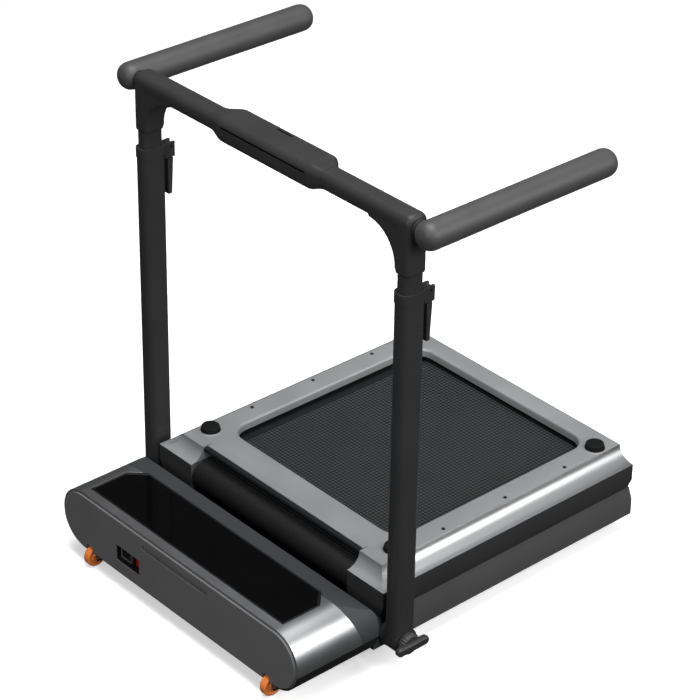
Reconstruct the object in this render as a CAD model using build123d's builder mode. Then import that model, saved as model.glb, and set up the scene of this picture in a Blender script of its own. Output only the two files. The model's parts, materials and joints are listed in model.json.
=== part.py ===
"""A folding motorised treadmill, folded deck and raised handlebar.

X runs to the user's right, Y to the back and Z up, in millimetres. The origin is on the floor,
under the middle of the folded machine. Lengths along Y are given as stations, measured back from
the hood's front face; heights inside either deck half are given as depths, measured outwards from
the parting plane between the two halves.
"""
from build123d import *
from math import cos, radians, sin
import os

# ---- driving dimensions -------------------------------------------------------------------
PART_Z = 98.9  # height of the parting plane and of the fold hinge's axis
HALF_DEPTH = 87.6  # parting plane to the outer face of a deck half's plate
FRONT_END = 887.0  # station of the front half's rear end
REAR_END = 882.7  # station of the rear half's hinge end, folded
HINGE_S = 885.1
HINGE_R = 6.0  # hinge barrel
WHEEL_R = 22.0
WHEEL_S = 12.0  # station of the transport wheels' axle
ORIGIN_S = (HINGE_S + HINGE_R + WHEEL_S - WHEEL_R) / 2  # station of the origin

DECK_W = 327.8  # half width over the side rails
PLATE_W = 290.0  # half width of the flat plate
SIDE_DEPTH = 58.3  # depth at which the side turns into the cove
SEAM = 0.3  # each half stands this far from the parting plane
RAIL_WALL = 3.0
RAIL_EDGE = (10.0, 24.0)  # how far the rail's side leans in, and over what depth, at the parting plane
FLANGE_IN = 238.0  # inner edge of the foot rails
FLANGE_T = 4.0

BELT_W = 225.0
BELT_T = 1.8
BELT_DEPTH = 4.0  # running surface below the parting plane
ROLLER_R = 25.0
ROLLER_W = 227.5
AXLE_R = 8.0
RUNNING_FIT = 0.05
BOARD_T = 15.0
BOARD_W = 234.0
DRIVE_S = 158.0
TAIL_S = 250.0
ROLLER_DEPTH = BELT_DEPTH + BELT_T + ROLLER_R
RETURN_DEPTH = BELT_DEPTH + BELT_T + 2 * ROLLER_R

PLATE_T = 2.0
WINDOW_W = 242.0
WINDOW_S = (333.0, 839.5)
WINDOW_R = 28.0
LIP = 16.8
NOTCH_S = 273.7  # front edge of the rear half's plate
TONGUE_S = 264.7  # front edge of the plate's tongue, between the end caps
CAP_S = 224.0
CAP_COVE = 30.0
FOOT_R = 20.0
FOOT_X = 267.0
FOOT_S = (304.0, 835.0)
FOOT_H = PART_Z - HALF_DEPTH

HOOD_W = 348.0
HOOD_R = 64.4
HOOD_Z = 96.7
HOOD_END = 197.0
HOOD_WALL = 3.0
HOOD_CREST = (133.0, 161.1)
HOOD_TAIL = (192.0, 139.0)
RAIL_START = HOOD_END + 6.0
SHELL_TOP_S = 133.0
SHELL_MID_S = 161.0
SPLIT_Z = 86.0
COVER_T = 5.0
COVER_GAP = 6.0

GLASS_W = 280.0
GLASS_S = (27.0, 136.0)
GLASS_CUT = 30.0
GLASS_T = 4.0
BEZEL = 4.0

MAST_X = 355.0
MAST_S = 241.0
MAST_PIVOT_Z = 68.0
TUBE_X = 36.0
TUBE_Y = 52.0
TUBE_R = 15.0
TUBE_WALL = 2.5
TUBE_TOP = 776.0
COLLAR_TOP = 796.0
INNER_X = 30.0
INNER_Y = 44.0
INNER_R = 12.0
INNER_LOW = 560.0
CORNER_LOW = 830.0
BAR_Z = 926.0
BAR_Y = 46.0
BAR_H = 38.0
HANDLE_Z = 921.0
BAR_R = 16.0
BAR_WALL = 2.5
CORNER_IN = 273.0
CONSOLE_W = 116.0
CONSOLE_RUN = 150.0
HANDLE_X = 404.0
HANDLE_R = 26.5
HANDLE_END = 671.0
NECK_R = 17.0
STUB_R = 8.0
LEVER_S = 283.0
LEVER_Z = 784.0
LEVER_TIP_Z = 685.0
WHEEL_X = 264.0
WHEEL_T = 16.0
WHEEL_Z = 22.5
WHEEL_AXLE_R = 4.0

INLET_X = (-177.0, -107.0)
INLET_Z = (64.0, 99.0)
SLOT_W = 97.0
SLOT_Z = (128.0, 140.0)

MOTOR_S = 84.0
MOTOR_Z = 88.0
MOTOR_R = 40.0
MOTOR_X = (-205.0, -60.0)
PULLEY_X = (-252.0, -234.0)
MOTOR_PULLEY_R = 14.0
ROLLER_PULLEY_R = 30.0

LOWER = -1  # front half: its outer face looks down
UPPER = 1  # rear half, folded on top: its outer face looks up


# ---- places -------------------------------------------------------------------------------
def at(station):
    """Y of a station."""
    return station - ORIGIN_S


def level(half, depth):
    """Z of a depth in one deck half."""
    return PART_Z + half * depth


def facing(station):
    """A plane across the machine: local x is X, local y is Z, extruding towards the front."""
    return Plane(origin=(0, at(station), 0), x_dir=(1, 0, 0), z_dir=(0, -1, 0))


def beside(x):
    """A plane along the machine: local x is Y, local y is Z, extruding towards +X."""
    return Plane(origin=(x, 0, 0), x_dir=(0, 1, 0), z_dir=(1, 0, 0))


def block(x, s, z, mode=Mode.ADD):
    """A box from pairs of limits: x, station and height."""
    with Locations(((x[0] + x[1]) / 2, at((s[0] + s[1]) / 2), (z[0] + z[1]) / 2)):
        Box(abs(x[1] - x[0]), s[1] - s[0], abs(z[1] - z[0]), mode=mode)


def rod(x, station, z, radius, mode=Mode.ADD):
    """A round bar along X between two x values."""
    with BuildSketch(beside(min(x))) as disc:
        with Locations((at(station), z)):
            Circle(radius)
    extrude(disc.sketch, amount=abs(x[1] - x[0]), mode=mode)


def finish(piece, name):
    piece.part.label = name
    export_step(piece.part, f"parts/{name}.step")


# ---- deck halves --------------------------------------------------------------------------
def side_rails(name, half, start, end):
    """Hollow box rails, each with a foot rail's flange reaching in to the belt."""
    with BuildPart() as rails:
        for side in (-1, 1):
            with BuildSketch(facing(start)):
                with BuildLine():
                    Polyline(
                        (side * FLANGE_IN, level(half, SEAM)),
                        (side * (DECK_W - RAIL_EDGE[0]), level(half, SEAM)),
                        (side * DECK_W, level(half, RAIL_EDGE[1])),
                        (side * DECK_W, level(half, SIDE_DEPTH)),
                        (side * PLATE_W, level(half, SIDE_DEPTH)),
                        (side * PLATE_W, level(half, FLANGE_T)),
                        (side * FLANGE_IN, level(half, FLANGE_T)),
                        close=True,
                    )
                make_face()
            extrude(amount=start - end)
            block(
                (side * (PLATE_W + RAIL_WALL), side * (DECK_W - RAIL_EDGE[0] - RAIL_WALL)),
                (start - 1, end + 1),
                (level(half, SEAM + RAIL_WALL), level(half, SIDE_DEPTH - RAIL_WALL)),
                Mode.SUBTRACT,
            )
            block(
                (side * (FLANGE_IN - 1), side * (PLATE_W - 0.5)),
                (HINGE_S - HINGE_R - 2, end + 1),
                (level(half, 0), level(half, FLANGE_T + 1)),
                Mode.SUBTRACT,
            )
    finish(rails, name)


def side_trims(name, half, start, end):
    """The coved trims along both long edges of a deck half."""
    with BuildPart() as trims:
        for side in (-1, 1):
            with BuildSketch(facing(start)):
                with BuildLine():
                    Polyline(
                        (side * PLATE_W, level(half, HALF_DEPTH)),
                        (side * PLATE_W, level(half, SIDE_DEPTH)),
                        (side * DECK_W, level(half, SIDE_DEPTH)),
                        (side * DECK_W, level(half, HALF_DEPTH)),
                        close=True,
                    )
                make_face()
                with Locations((side * DECK_W, level(half, HALF_DEPTH))):
                    Ellipse(DECK_W - PLATE_W, HALF_DEPTH - SIDE_DEPTH, mode=Mode.SUBTRACT)
            extrude(amount=start - end)
    finish(trims, name)


def bottom_plate(name, half, start, end):
    """The outer sheet of a deck half: a large window with a turned-in lip, and screw holes."""
    outer = level(half, HALF_DEPTH)
    middle = at(sum(WINDOW_S) / 2)
    window = (2 * WINDOW_W, WINDOW_S[1] - WINDOW_S[0])
    with BuildPart() as plate:
        block((-PLATE_W, PLATE_W), (start, end), (outer - half * PLATE_T, outer))
        block((-PLATE_W, PLATE_W), (end - PLATE_T, end), (level(half, SIDE_DEPTH + 1), outer))
        if half == UPPER:
            block(
                (-ROLLER_W, ROLLER_W), (TONGUE_S, start + 1), (outer - half * PLATE_T, outer)
            )
        with BuildSketch(Plane.XY.offset(outer)):
            with Locations((0, middle)):
                RectangleRounded(
                    window[0] + 2 * PLATE_T, window[1] + 2 * PLATE_T, WINDOW_R + PLATE_T
                )
        extrude(amount=-half * LIP)
        with BuildSketch(Plane.XY.offset(outer)):
            with Locations((0, middle)):
                RectangleRounded(*window, WINDOW_R)
        extrude(amount=-half * LIP, mode=Mode.SUBTRACT)
        for x, s in screw_places():
            with Locations((x, at(s), outer)):
                Cylinder(2.1, 4 * PLATE_T, mode=Mode.SUBTRACT)
    finish(plate, name)


def screw_places():
    return [(side * 278.0, s) for side in (-1, 1) for s in (419.0, 579.0, 740.0)]


def plate_screws(name, half):
    outer = level(half, HALF_DEPTH)
    with BuildPart() as screws:
        for x, s in screw_places():
            with Locations((x, at(s), outer + half * 0.8)):
                Cylinder(3.8, 1.6)
            with Locations((x, at(s), outer - half * 6)):
                Cylinder(2.1, 12)
    finish(screws, name)


def feet(name, half):
    outer = level(half, HALF_DEPTH)
    with BuildPart() as pads:
        for side in (-1, 1):
            for s in FOOT_S:
                with BuildSketch(Plane.XY.offset(outer)):
                    with Locations((side * FOOT_X, at(s))):
                        Circle(FOOT_R)
                extrude(amount=half * FOOT_H, taper=6)
                with BuildSketch(Plane.XY.offset(outer + half * FOOT_H)):
                    with Locations((side * FOOT_X, at(s))):
                        Circle(5)
                extrude(amount=-half * 6, mode=Mode.SUBTRACT)
    finish(pads, name)


def crossmembers(name, half, stations):
    """Box tubes between the rails, under the running board."""
    top = BELT_DEPTH + BELT_T + BOARD_T
    with BuildPart() as tubes:
        for s in stations:
            block((-PLATE_W, PLATE_W), (s - 15, s + 15), (level(half, top), level(half, top + 20)))
            block(
                (-PLATE_W, PLATE_W),
                (s - 13, s + 13),
                (level(half, top + 2), level(half, top + 18)),
                Mode.SUBTRACT,
            )
    finish(tubes, name)


def running_board(name, half, start, end):
    with BuildPart() as board:
        top = level(half, BELT_DEPTH + BELT_T)
        block((-BOARD_W, BOARD_W), (start, end), (top, top + half * BOARD_T))
        fillet(board.edges().filter_by(Axis.X), 3)
    finish(board, name)


def belt_half(name, half, roller_s):
    """One half of the belt: two runs and the turn round its roller, open at the fold."""
    centre = level(half, ROLLER_DEPTH)
    with BuildPart() as belt:
        with BuildSketch(beside(-BELT_W)):
            with Locations((at(roller_s), centre)):
                Circle(ROLLER_R + BELT_T)
            with Locations((at((roller_s + HINGE_S - 1) / 2), centre)):
                Rectangle(HINGE_S - 1 - roller_s, 2 * (ROLLER_R + BELT_T))
            with Locations((at(roller_s), centre)):
                Circle(ROLLER_R, mode=Mode.SUBTRACT)
            with Locations((at((roller_s + HINGE_S) / 2), centre)):
                Rectangle(HINGE_S - roller_s, 2 * ROLLER_R, mode=Mode.SUBTRACT)
        extrude(amount=2 * BELT_W)
        block(
            (-BELT_W - 1, BELT_W + 1),
            (HINGE_S - 7, HINGE_S),
            (level(half, BELT_DEPTH - 1), level(half, BELT_DEPTH + BELT_T + 1)),
            Mode.SUBTRACT,
        )
    finish(belt, name)


def belt_fold():
    """The belt's two short stretches across the fold, inner and outer."""
    reach = RETURN_DEPTH + BELT_T
    near = BELT_DEPTH + BELT_T
    with BuildPart() as fold:
        block(
            (-BELT_W, BELT_W),
            (HINGE_S - 1, HINGE_S - 1 + BELT_T),
            (PART_Z - reach, PART_Z + reach),
        )
        block(
            (-BELT_W, BELT_W),
            (HINGE_S - 7, HINGE_S - 7 + BELT_T),
            (PART_Z - near, PART_Z + near),
        )
    finish(fold, "belt_fold")


def hinge_x(side, low, high):
    return (side * low, side * high)


def hinge_knuckles(name, half, spans):
    """Leaves bolted to the rails, with barrels on the fold axis."""
    with BuildPart() as knuckles:
        for side in (-1, 1):
            block(
                hinge_x(side, 240, PLATE_W),
                (HINGE_S - 40, HINGE_S - 13),
                (level(half, FLANGE_T + 0.2), level(half, 16)),
            )
            for low, high in spans:
                block(
                    hinge_x(side, low, high),
                    (HINGE_S - 7.8, HINGE_S - 1),
                    (level(half, 1.0), level(half, HINGE_R)),
                )
                block(
                    hinge_x(side, low, high),
                    (HINGE_S - 16, HINGE_S - 5),
                    (level(half, FLANGE_T + 0.2), level(half, HINGE_R + 2)),
                )
                rod(hinge_x(side, low, high), HINGE_S, PART_Z, HINGE_R)
            rod(hinge_x(side, 239, 287), HINGE_S, PART_Z, 3 + RUNNING_FIT / 2, Mode.SUBTRACT)
    finish(knuckles, name)


def hinge_pins():
    with BuildPart() as pins:
        for side in (-1, 1):
            rod(hinge_x(side, 240, 286), HINGE_S, PART_Z, 3)
    finish(pins, "hinge_pins")


def rear_end_caps():
    """Coved corner blocks that hold the ends of the rear roller's axle."""
    half = UPPER
    top = level(half, HALF_DEPTH)
    with BuildPart() as caps:
        for side in (-1, 1):
            block(
                (side * (ROLLER_W + 1.5), side * DECK_W),
                (CAP_S, NOTCH_S - 0.3),
                (level(half, SEAM), top),
            )
            with BuildSketch(facing(NOTCH_S)):
                with Locations((side * DECK_W, top)):
                    Ellipse(DECK_W - PLATE_W, HALF_DEPTH - SIDE_DEPTH)
            extrude(amount=NOTCH_S - CAP_S + 1, mode=Mode.SUBTRACT)
            with BuildSketch(facing(NOTCH_S)):
                with BuildLine():
                    Polyline(
                        (side * (DECK_W - RAIL_EDGE[0]), level(half, SEAM)),
                        (side * DECK_W, level(half, RAIL_EDGE[1])),
                        (side * DECK_W, level(half, SEAM)),
                        close=True,
                    )
                make_face()
            extrude(amount=NOTCH_S - CAP_S + 1, mode=Mode.SUBTRACT)
            block(
                (side * (ROLLER_W + 6), side * (DECK_W - RAIL_EDGE[0] - 5)),
                (CAP_S + 6, NOTCH_S),
                (level(half, SEAM - 1), level(half, SEAM + 12)),
                Mode.SUBTRACT,
            )
        with BuildSketch(beside(-DECK_W - 1)):
            with Locations((at(CAP_S), top)):
                Ellipse(CAP_COVE, HALF_DEPTH - SIDE_DEPTH)
        extrude(amount=2 * DECK_W + 2, mode=Mode.SUBTRACT)
        rod((-300, 300), TAIL_S, level(half, ROLLER_DEPTH), AXLE_R, Mode.SUBTRACT)
    finish(caps, "rear_end_caps")


def rear_lip():
    """The dark strip that closes the gap between the plate and the rear roller."""
    with BuildPart() as lip:
        block(
            (-ROLLER_W - 1, ROLLER_W + 1),
            (TAIL_S + 6, NOTCH_S - 0.2),
            (level(UPPER, 76), level(UPPER, HALF_DEPTH - 2.2)),
        )
        fillet(lip.edges().filter_by(Axis.X).sort_by(Axis.Y)[:2], 3)
    finish(lip, "rear_lip")


def rear_roller():
    """A tube with a bored disc in each end, turning on a fixed axle."""
    z = level(UPPER, ROLLER_DEPTH)
    with BuildPart() as roller:
        rod((-ROLLER_W, ROLLER_W), TAIL_S, z, ROLLER_R - 0.05)
        rod((-ROLLER_W + 12, ROLLER_W - 12), TAIL_S, z, ROLLER_R - 3, Mode.SUBTRACT)
        rod((-ROLLER_W - 1, ROLLER_W + 1), TAIL_S, z, AXLE_R + RUNNING_FIT, Mode.SUBTRACT)
    finish(roller, "rear_roller")
    with BuildPart() as axle:
        rod((-300, 300), TAIL_S, z, AXLE_R)
    finish(axle, "rear_axle")


# ---- drive --------------------------------------------------------------------------------
def drive_roller():
    z = level(LOWER, ROLLER_DEPTH)
    with BuildPart() as roller:
        rod((-ROLLER_W, ROLLER_W), DRIVE_S, z, ROLLER_R - 0.05)
        rod((-276, 276), DRIVE_S, z, AXLE_R)
        rod(PULLEY_X, DRIVE_S, z, ROLLER_PULLEY_R)
    finish(roller, "drive_roller")


def bearing_blocks():
    z = level(LOWER, ROLLER_DEPTH)
    with BuildPart() as blocks:
        for side in (-1, 1):
            block(
                (side * 262, side * 274),
                (DRIVE_S - 16, DRIVE_S + 16),
                (HOOD_Z - HOOD_R + HOOD_WALL, z + 16),
            )
            rod((side * 260, side * 278), DRIVE_S, z, AXLE_R + RUNNING_FIT, Mode.SUBTRACT)
    finish(blocks, "bearing_blocks")


def motor():
    with BuildPart() as body:
        rod(MOTOR_X, MOTOR_S, MOTOR_Z, MOTOR_R)
        rod((MOTOR_X[0] - 14, MOTOR_X[0]), MOTOR_S, MOTOR_Z, MOTOR_R - 12)
        rod((MOTOR_X[0] - 20, MOTOR_X[1]), MOTOR_S, MOTOR_Z, 6 + RUNNING_FIT, Mode.SUBTRACT)
    finish(body, "motor")
    with BuildPart() as rotor:
        rod((PULLEY_X[0], MOTOR_X[1] + 6), MOTOR_S, MOTOR_Z, 6)
        rod(PULLEY_X, MOTOR_S, MOTOR_Z, MOTOR_PULLEY_R)
    finish(rotor, "motor_rotor")
    floor = HOOD_Z - HOOD_R + HOOD_WALL
    with BuildPart() as cradle:
        block((MOTOR_X[0] + 15, MOTOR_X[1] - 15), (MOTOR_S - 34, MOTOR_S + 34), (floor, MOTOR_Z - 22))
        rod((MOTOR_X[0], MOTOR_X[1]), MOTOR_S, MOTOR_Z, MOTOR_R, Mode.SUBTRACT)
    finish(cradle, "motor_cradle")


def belt_loop(gap):
    """The outline round both pulleys, a gap outside their rims."""
    with BuildSketch(beside(PULLEY_X[0] + 3)) as wrap:
        with Locations((at(MOTOR_S), MOTOR_Z)):
            Circle(MOTOR_PULLEY_R + gap)
        with Locations((at(DRIVE_S), level(LOWER, ROLLER_DEPTH))):
            Circle(ROLLER_PULLEY_R + gap)
        make_hull()
    return wrap.sketch


def drive_belt():
    """The ribbed belt from the motor's pulley to the roller's pulley."""
    width = PULLEY_X[1] - PULLEY_X[0] - 6
    outside, inside = belt_loop(2.2), belt_loop(0.2)
    with BuildPart() as loop:
        extrude(outside, amount=width)
        extrude(inside, amount=width, mode=Mode.SUBTRACT)
    finish(loop, "drive_belt")


def controller():
    floor = HOOD_Z - HOOD_R + HOOD_WALL
    with BuildPart() as box:
        block((60, 220), (40, 125), (floor, floor + 14))
        for n in range(12):
            x = 66 + n * 13
            block((x, x + 5), (45, 120), (floor + 14, floor + 34))
    finish(box, "motor_controller")


# ---- hood ---------------------------------------------------------------------------------
def hood_volume(inset, front, back):
    """The stadium-section body of the hood, with its sloping tail, shrunk by a wall thickness."""
    crest = (HOOD_CREST[0], HOOD_CREST[1] - inset)
    tail = (HOOD_TAIL[0] - inset, HOOD_TAIL[1] - inset)
    low = HOOD_Z - HOOD_R + inset
    with BuildPart() as volume:
        with BuildSketch(facing(front)):
            with Locations((0, HOOD_Z)):
                SlotOverall(2 * (HOOD_W - inset), 2 * (HOOD_R - inset))
        extrude(amount=front - back)
        with BuildSketch(beside(-HOOD_W)):
            with BuildLine():
                Polyline(
                    (at(front), low),
                    (at(back), low),
                    (at(back), tail[1] - 8),
                    (at(tail[0]), tail[1]),
                    (at(crest[0]), crest[1]),
                    (at(front), crest[1]),
                    close=True,
                )
            make_face()
        extrude(amount=2 * HOOD_W, mode=Mode.INTERSECT)
    return volume.part


def shell_side(gap):
    """Everything in front of the slanted joint between the bright shell and the rear cover."""
    top, bottom = HOOD_CREST[1] + 20, SPLIT_Z
    lean = (SHELL_MID_S - SHELL_TOP_S) / (HOOD_CREST[1] - SPLIT_Z)
    with BuildPart() as side:
        with BuildSketch(beside(-HOOD_W - 5)):
            with BuildLine():
                Polyline(
                    (at(-5), bottom),
                    (at(SHELL_MID_S - gap), bottom),
                    (at(SHELL_TOP_S - gap - 20 * lean), top),
                    (at(-5), top),
                    close=True,
                )
            make_face()
        extrude(amount=2 * HOOD_W + 10)
    return side.part


def glass_slab(grow, top, thickness, mode=Mode.ADD):
    """A slab of the glass panel's outline, which has two cut corners at the back."""
    front, back = GLASS_S[0] - grow, GLASS_S[1] + grow
    half = GLASS_W + grow
    with BuildSketch(Plane.XY.offset(top)) as outline:
        with BuildLine():
            Polyline(
                (-half, at(front)),
                (half, at(front)),
                (half, at(back - GLASS_CUT)),
                (half - GLASS_CUT, at(back)),
                (-half + GLASS_CUT, at(back)),
                (-half, at(back - GLASS_CUT)),
                close=True,
            )
        make_face()
    extrude(outline.sketch, amount=-thickness, mode=mode)


def hood_shell():
    outer = hood_volume(0, COVER_T - 1, HOOD_END)
    inner = hood_volume(HOOD_WALL, COVER_T - 2, HOOD_END - HOOD_WALL)
    front = shell_side(0)
    with BuildPart() as shell:
        add(outer)
        add(inner, mode=Mode.SUBTRACT)
        add(front, mode=Mode.INTERSECT)
        glass_slab(BEZEL + 0.2, HOOD_CREST[1] + 1, 10, Mode.SUBTRACT)
    finish(shell, "hood_shell")


def hood_rear_cover():
    outer = hood_volume(0, COVER_T - 1, HOOD_END)
    inner = hood_volume(HOOD_WALL, COVER_T - 2, HOOD_END - HOOD_WALL)
    front = shell_side(-0.5)
    with BuildPart() as cover:
        add(outer)
        add(inner, mode=Mode.SUBTRACT)
        block((-HOOD_W, HOOD_W), (-5, HOOD_END + 5), (0, SPLIT_Z), Mode.SUBTRACT)
        add(front, mode=Mode.SUBTRACT)
        glass_slab(BEZEL + 0.2, HOOD_CREST[1] + 1, 10, Mode.SUBTRACT)
        block(
            (-FLANGE_IN, FLANGE_IN),
            (HOOD_END - 10, HOOD_END + 5),
            (SPLIT_Z - 1, PART_Z + 1),
            Mode.SUBTRACT,
        )
    finish(cover, "hood_rear_cover")


def base_pan():
    """The hood's lower tray, with the wheel wells and the ears that carry the wheel axles."""
    low = HOOD_Z - HOOD_R
    outer = hood_volume(0, COVER_T - 1, HOOD_END)
    inner = hood_volume(HOOD_WALL, COVER_T - 2, HOOD_END - HOOD_WALL)
    with BuildPart() as pan:
        add(outer)
        add(inner, mode=Mode.SUBTRACT)
        block((-HOOD_W, HOOD_W), (-5, HOOD_END + 5), (SPLIT_Z - 0.4, 200), Mode.SUBTRACT)
        block((-241, 241), (HOOD_END - 10, HOOD_END + 5), (low + 5, 200), Mode.SUBTRACT)
        for side in (-1, 1):
            block(
                (side * (WHEEL_X - 10), side * (WHEEL_X + 10)),
                (-5, WHEEL_S + WHEEL_R + 3),
                (0, 50),
                Mode.SUBTRACT,
            )
            for inner in (WHEEL_X - 13, WHEEL_X + 10):
                block(
                    (side * inner, side * (inner + 3)),
                    (COVER_T + 3.5, WHEEL_S + 12),
                    (WHEEL_Z - 8, low + 10),
                )
            rod(
                (side * (WHEEL_X - 14), side * (WHEEL_X + 14)),
                WHEEL_S,
                WHEEL_Z,
                WHEEL_AXLE_R,
                Mode.SUBTRACT,
            )
    finish(pan, "base_pan")


def front_cover():
    """The flat face: a stadium with the hand slot, the inlet's opening and two wheel notches."""
    with BuildPart() as cover:
        with BuildSketch(facing(COVER_T)):
            with Locations((0, HOOD_Z)):
                SlotOverall(2 * (HOOD_W - COVER_GAP), 2 * (HOOD_R - COVER_GAP))
        extrude(amount=COVER_T)
        with BuildSketch(facing(COVER_T + 3)):
            with Locations((0, HOOD_Z)):
                SlotOverall(2 * (HOOD_W - HOOD_WALL - 0.2), 2 * (HOOD_R - HOOD_WALL - 0.2))
        extrude(amount=3)
        with BuildSketch(facing(COVER_T + 1)):
            with Locations((0, sum(SLOT_Z) / 2)):
                SlotOverall(2 * SLOT_W, SLOT_Z[1] - SLOT_Z[0])
        extrude(amount=COVER_T + 2, mode=Mode.SUBTRACT)
        block(INLET_X, (-1, 20), INLET_Z, Mode.SUBTRACT)
        for side in (-1, 1):
            block(
                (side * (WHEEL_X - 10), side * (WHEEL_X + 10)),
                (-1, 20),
                (0, 49),
                Mode.SUBTRACT,
            )
    finish(cover, "front_cover")


def top_glass():
    top = HOOD_CREST[1]
    with BuildPart() as glass:
        glass_slab(-0.2, top, GLASS_T)
    finish(glass, "top_glass")
    with BuildPart() as bezel:
        glass_slab(BEZEL, top, GLASS_T + 2)
        glass_slab(0, top, GLASS_T, Mode.SUBTRACT)
        glass_slab(-BEZEL, top, 20, Mode.SUBTRACT)
    finish(bezel, "glass_bezel")


def inlet_frame():
    """The recessed panel with an opening for the mains inlet and one for the switch."""
    x = (INLET_X[0] + 0.2, INLET_X[1] - 0.2)
    z = (INLET_Z[0] + 0.2, INLET_Z[1] - 0.2)
    with BuildPart() as frame:
        block(x, (1, 26), z)
        block((x[0] + 2, x[1] - 2), (0, 8), (z[0] + 2, z[1] - 2), Mode.SUBTRACT)
        block((-173, -139), (5, 27), (68, 95), Mode.SUBTRACT)
        block((-132, -111), (5, 27), (68, 95), Mode.SUBTRACT)
    finish(frame, "inlet_frame")


def power_inlet():
    """A three-pin mains inlet."""
    with BuildPart() as socket:
        block((-173, -139), (9, 30), (68, 95))
        with BuildSketch(facing(24)):
            with Locations((-156, 81.5)):
                Polygon((-12.5, -8.5), (12.5, -8.5), (12.5, 4.5), (8.5, 8.5), (-8.5, 8.5), (-12.5, 4.5),
                        align=None)
        extrude(amount=20, mode=Mode.SUBTRACT)
        for dx, dz in ((-7, -2), (0, 3), (7, -2)):
            block((-156 + dx - 1, -156 + dx + 1), (12, 25), (81.5 + dz - 2, 81.5 + dz + 2))
    finish(socket, "power_inlet")


def switch_rocker():
    """The red rocker, pressed at its lower edge."""
    tilt = radians(6)
    pivot = Plane(
        origin=(-131, at(17), 81.5), x_dir=(0, cos(tilt), sin(tilt)), z_dir=(1, 0, 0)
    )
    with BuildPart() as rocker:
        with BuildSketch(pivot):
            with BuildLine():
                Polyline((-5, -12), (-7, -12), (-5, 0), (-7, 12), (-5, 12), (6, 5), (6, -5), close=True)
            make_face()
        extrude(amount=19)
    finish(rocker, "switch_rocker")


# ---- wheels -------------------------------------------------------------------------------
def wheel(name, side):
    with BuildPart() as tyre:
        rod((side * (WHEEL_X - WHEEL_T / 2), side * (WHEEL_X + WHEEL_T / 2)), WHEEL_S, WHEEL_Z, WHEEL_R)
        fillet(tyre.edges().filter_by(GeomType.CIRCLE), 2.5)
        rod(
            (side * (WHEEL_X - WHEEL_T), side * (WHEEL_X + WHEEL_T)),
            WHEEL_S,
            WHEEL_Z,
            WHEEL_AXLE_R + RUNNING_FIT,
            Mode.SUBTRACT,
        )
    finish(tyre, name)


def wheel_axles():
    with BuildPart() as axles:
        for side in (-1, 1):
            rod((side * (WHEEL_X - 14), side * (WHEEL_X + 14)), WHEEL_S, WHEEL_Z, WHEEL_AXLE_R)
    finish(axles, "wheel_axles")


# ---- mast ---------------------------------------------------------------------------------
def rounded_bar(x, size, radius, low, high, mode=Mode.ADD):
    """An upright rounded-rectangle bar on one mast's axis."""
    with BuildSketch(Plane.XY.offset(low)) as section:
        with Locations((x, at(MAST_S))):
            RectangleRounded(*size, radius)
    extrude(section.sketch, amount=high - low, mode=mode)


def mast_brackets():
    """Plates on the front rails that carry the mast's pivot bolts."""
    inner = MAST_X - TUBE_X / 2 - 0.4
    with BuildPart() as brackets:
        for side in (-1, 1):
            with BuildSketch(beside(min(side * DECK_W, side * inner))):
                with Locations((at(MAST_S), MAST_PIVOT_Z)):
                    Circle(27)
                with Locations((at(MAST_S + 16), MAST_PIVOT_Z)):
                    Rectangle(50, 50)
            extrude(amount=inner - DECK_W)
            rod((side * DECK_W, side * inner), MAST_S, MAST_PIVOT_Z, AXLE_R, Mode.SUBTRACT)
    finish(brackets, "mast_brackets")


def mast_bolts():
    with BuildPart() as bolts:
        for side in (-1, 1):
            rod((side * DECK_W, side * 394), MAST_S, MAST_PIVOT_Z, AXLE_R)
    finish(bolts, "mast_bolts")


def mast_tube(name, side):
    """The outer tube, with a solid round foot on the pivot bolt."""
    x = side * MAST_X
    with BuildPart() as tube:
        rounded_bar(x, (TUBE_X, TUBE_Y), TUBE_R, MAST_PIVOT_Z, TUBE_TOP)
        rounded_bar(
            x,
            (TUBE_X - 2 * TUBE_WALL, TUBE_Y - 2 * TUBE_WALL),
            TUBE_R - TUBE_WALL,
            MAST_PIVOT_Z + 40,
            TUBE_TOP,
            Mode.SUBTRACT,
        )
        rod((x - TUBE_X / 2, x + TUBE_X / 2), MAST_S, MAST_PIVOT_Z, TUBE_Y / 2)
        rod((x - TUBE_X, x + TUBE_X), MAST_S, MAST_PIVOT_Z, AXLE_R + RUNNING_FIT, Mode.SUBTRACT)
    finish(tube, name)


def clamp_collars():
    """Split collars on the outer tubes, each with two ears for its lever."""
    with BuildPart() as collars:
        for side in (-1, 1):
            x = side * MAST_X
            rounded_bar(x, (TUBE_X + 2, TUBE_Y + 2), TUBE_R, TUBE_TOP, COLLAR_TOP)
            for low in (-10, 5):
                block((x + low, x + low + 5), (MAST_S + 22, LEVER_S + 8), (TUBE_TOP, 792))
                block((x + low, x + low + 5), (MAST_S + 26.5, LEVER_S + 8), (762, TUBE_TOP))
            rounded_bar(
                x, (INNER_X + 0.6, INNER_Y + 0.6), INNER_R, TUBE_TOP - 1, COLLAR_TOP + 1, Mode.SUBTRACT
            )
            rod((x - 12, x + 12), LEVER_S, LEVER_Z, 3, Mode.SUBTRACT)
    finish(collars, "clamp_collars")
    with BuildPart() as pins:
        for side in (-1, 1):
            rod((side * MAST_X - 10, side * MAST_X + 10), LEVER_S, LEVER_Z, 3)
    finish(pins, "lever_pins")


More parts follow.
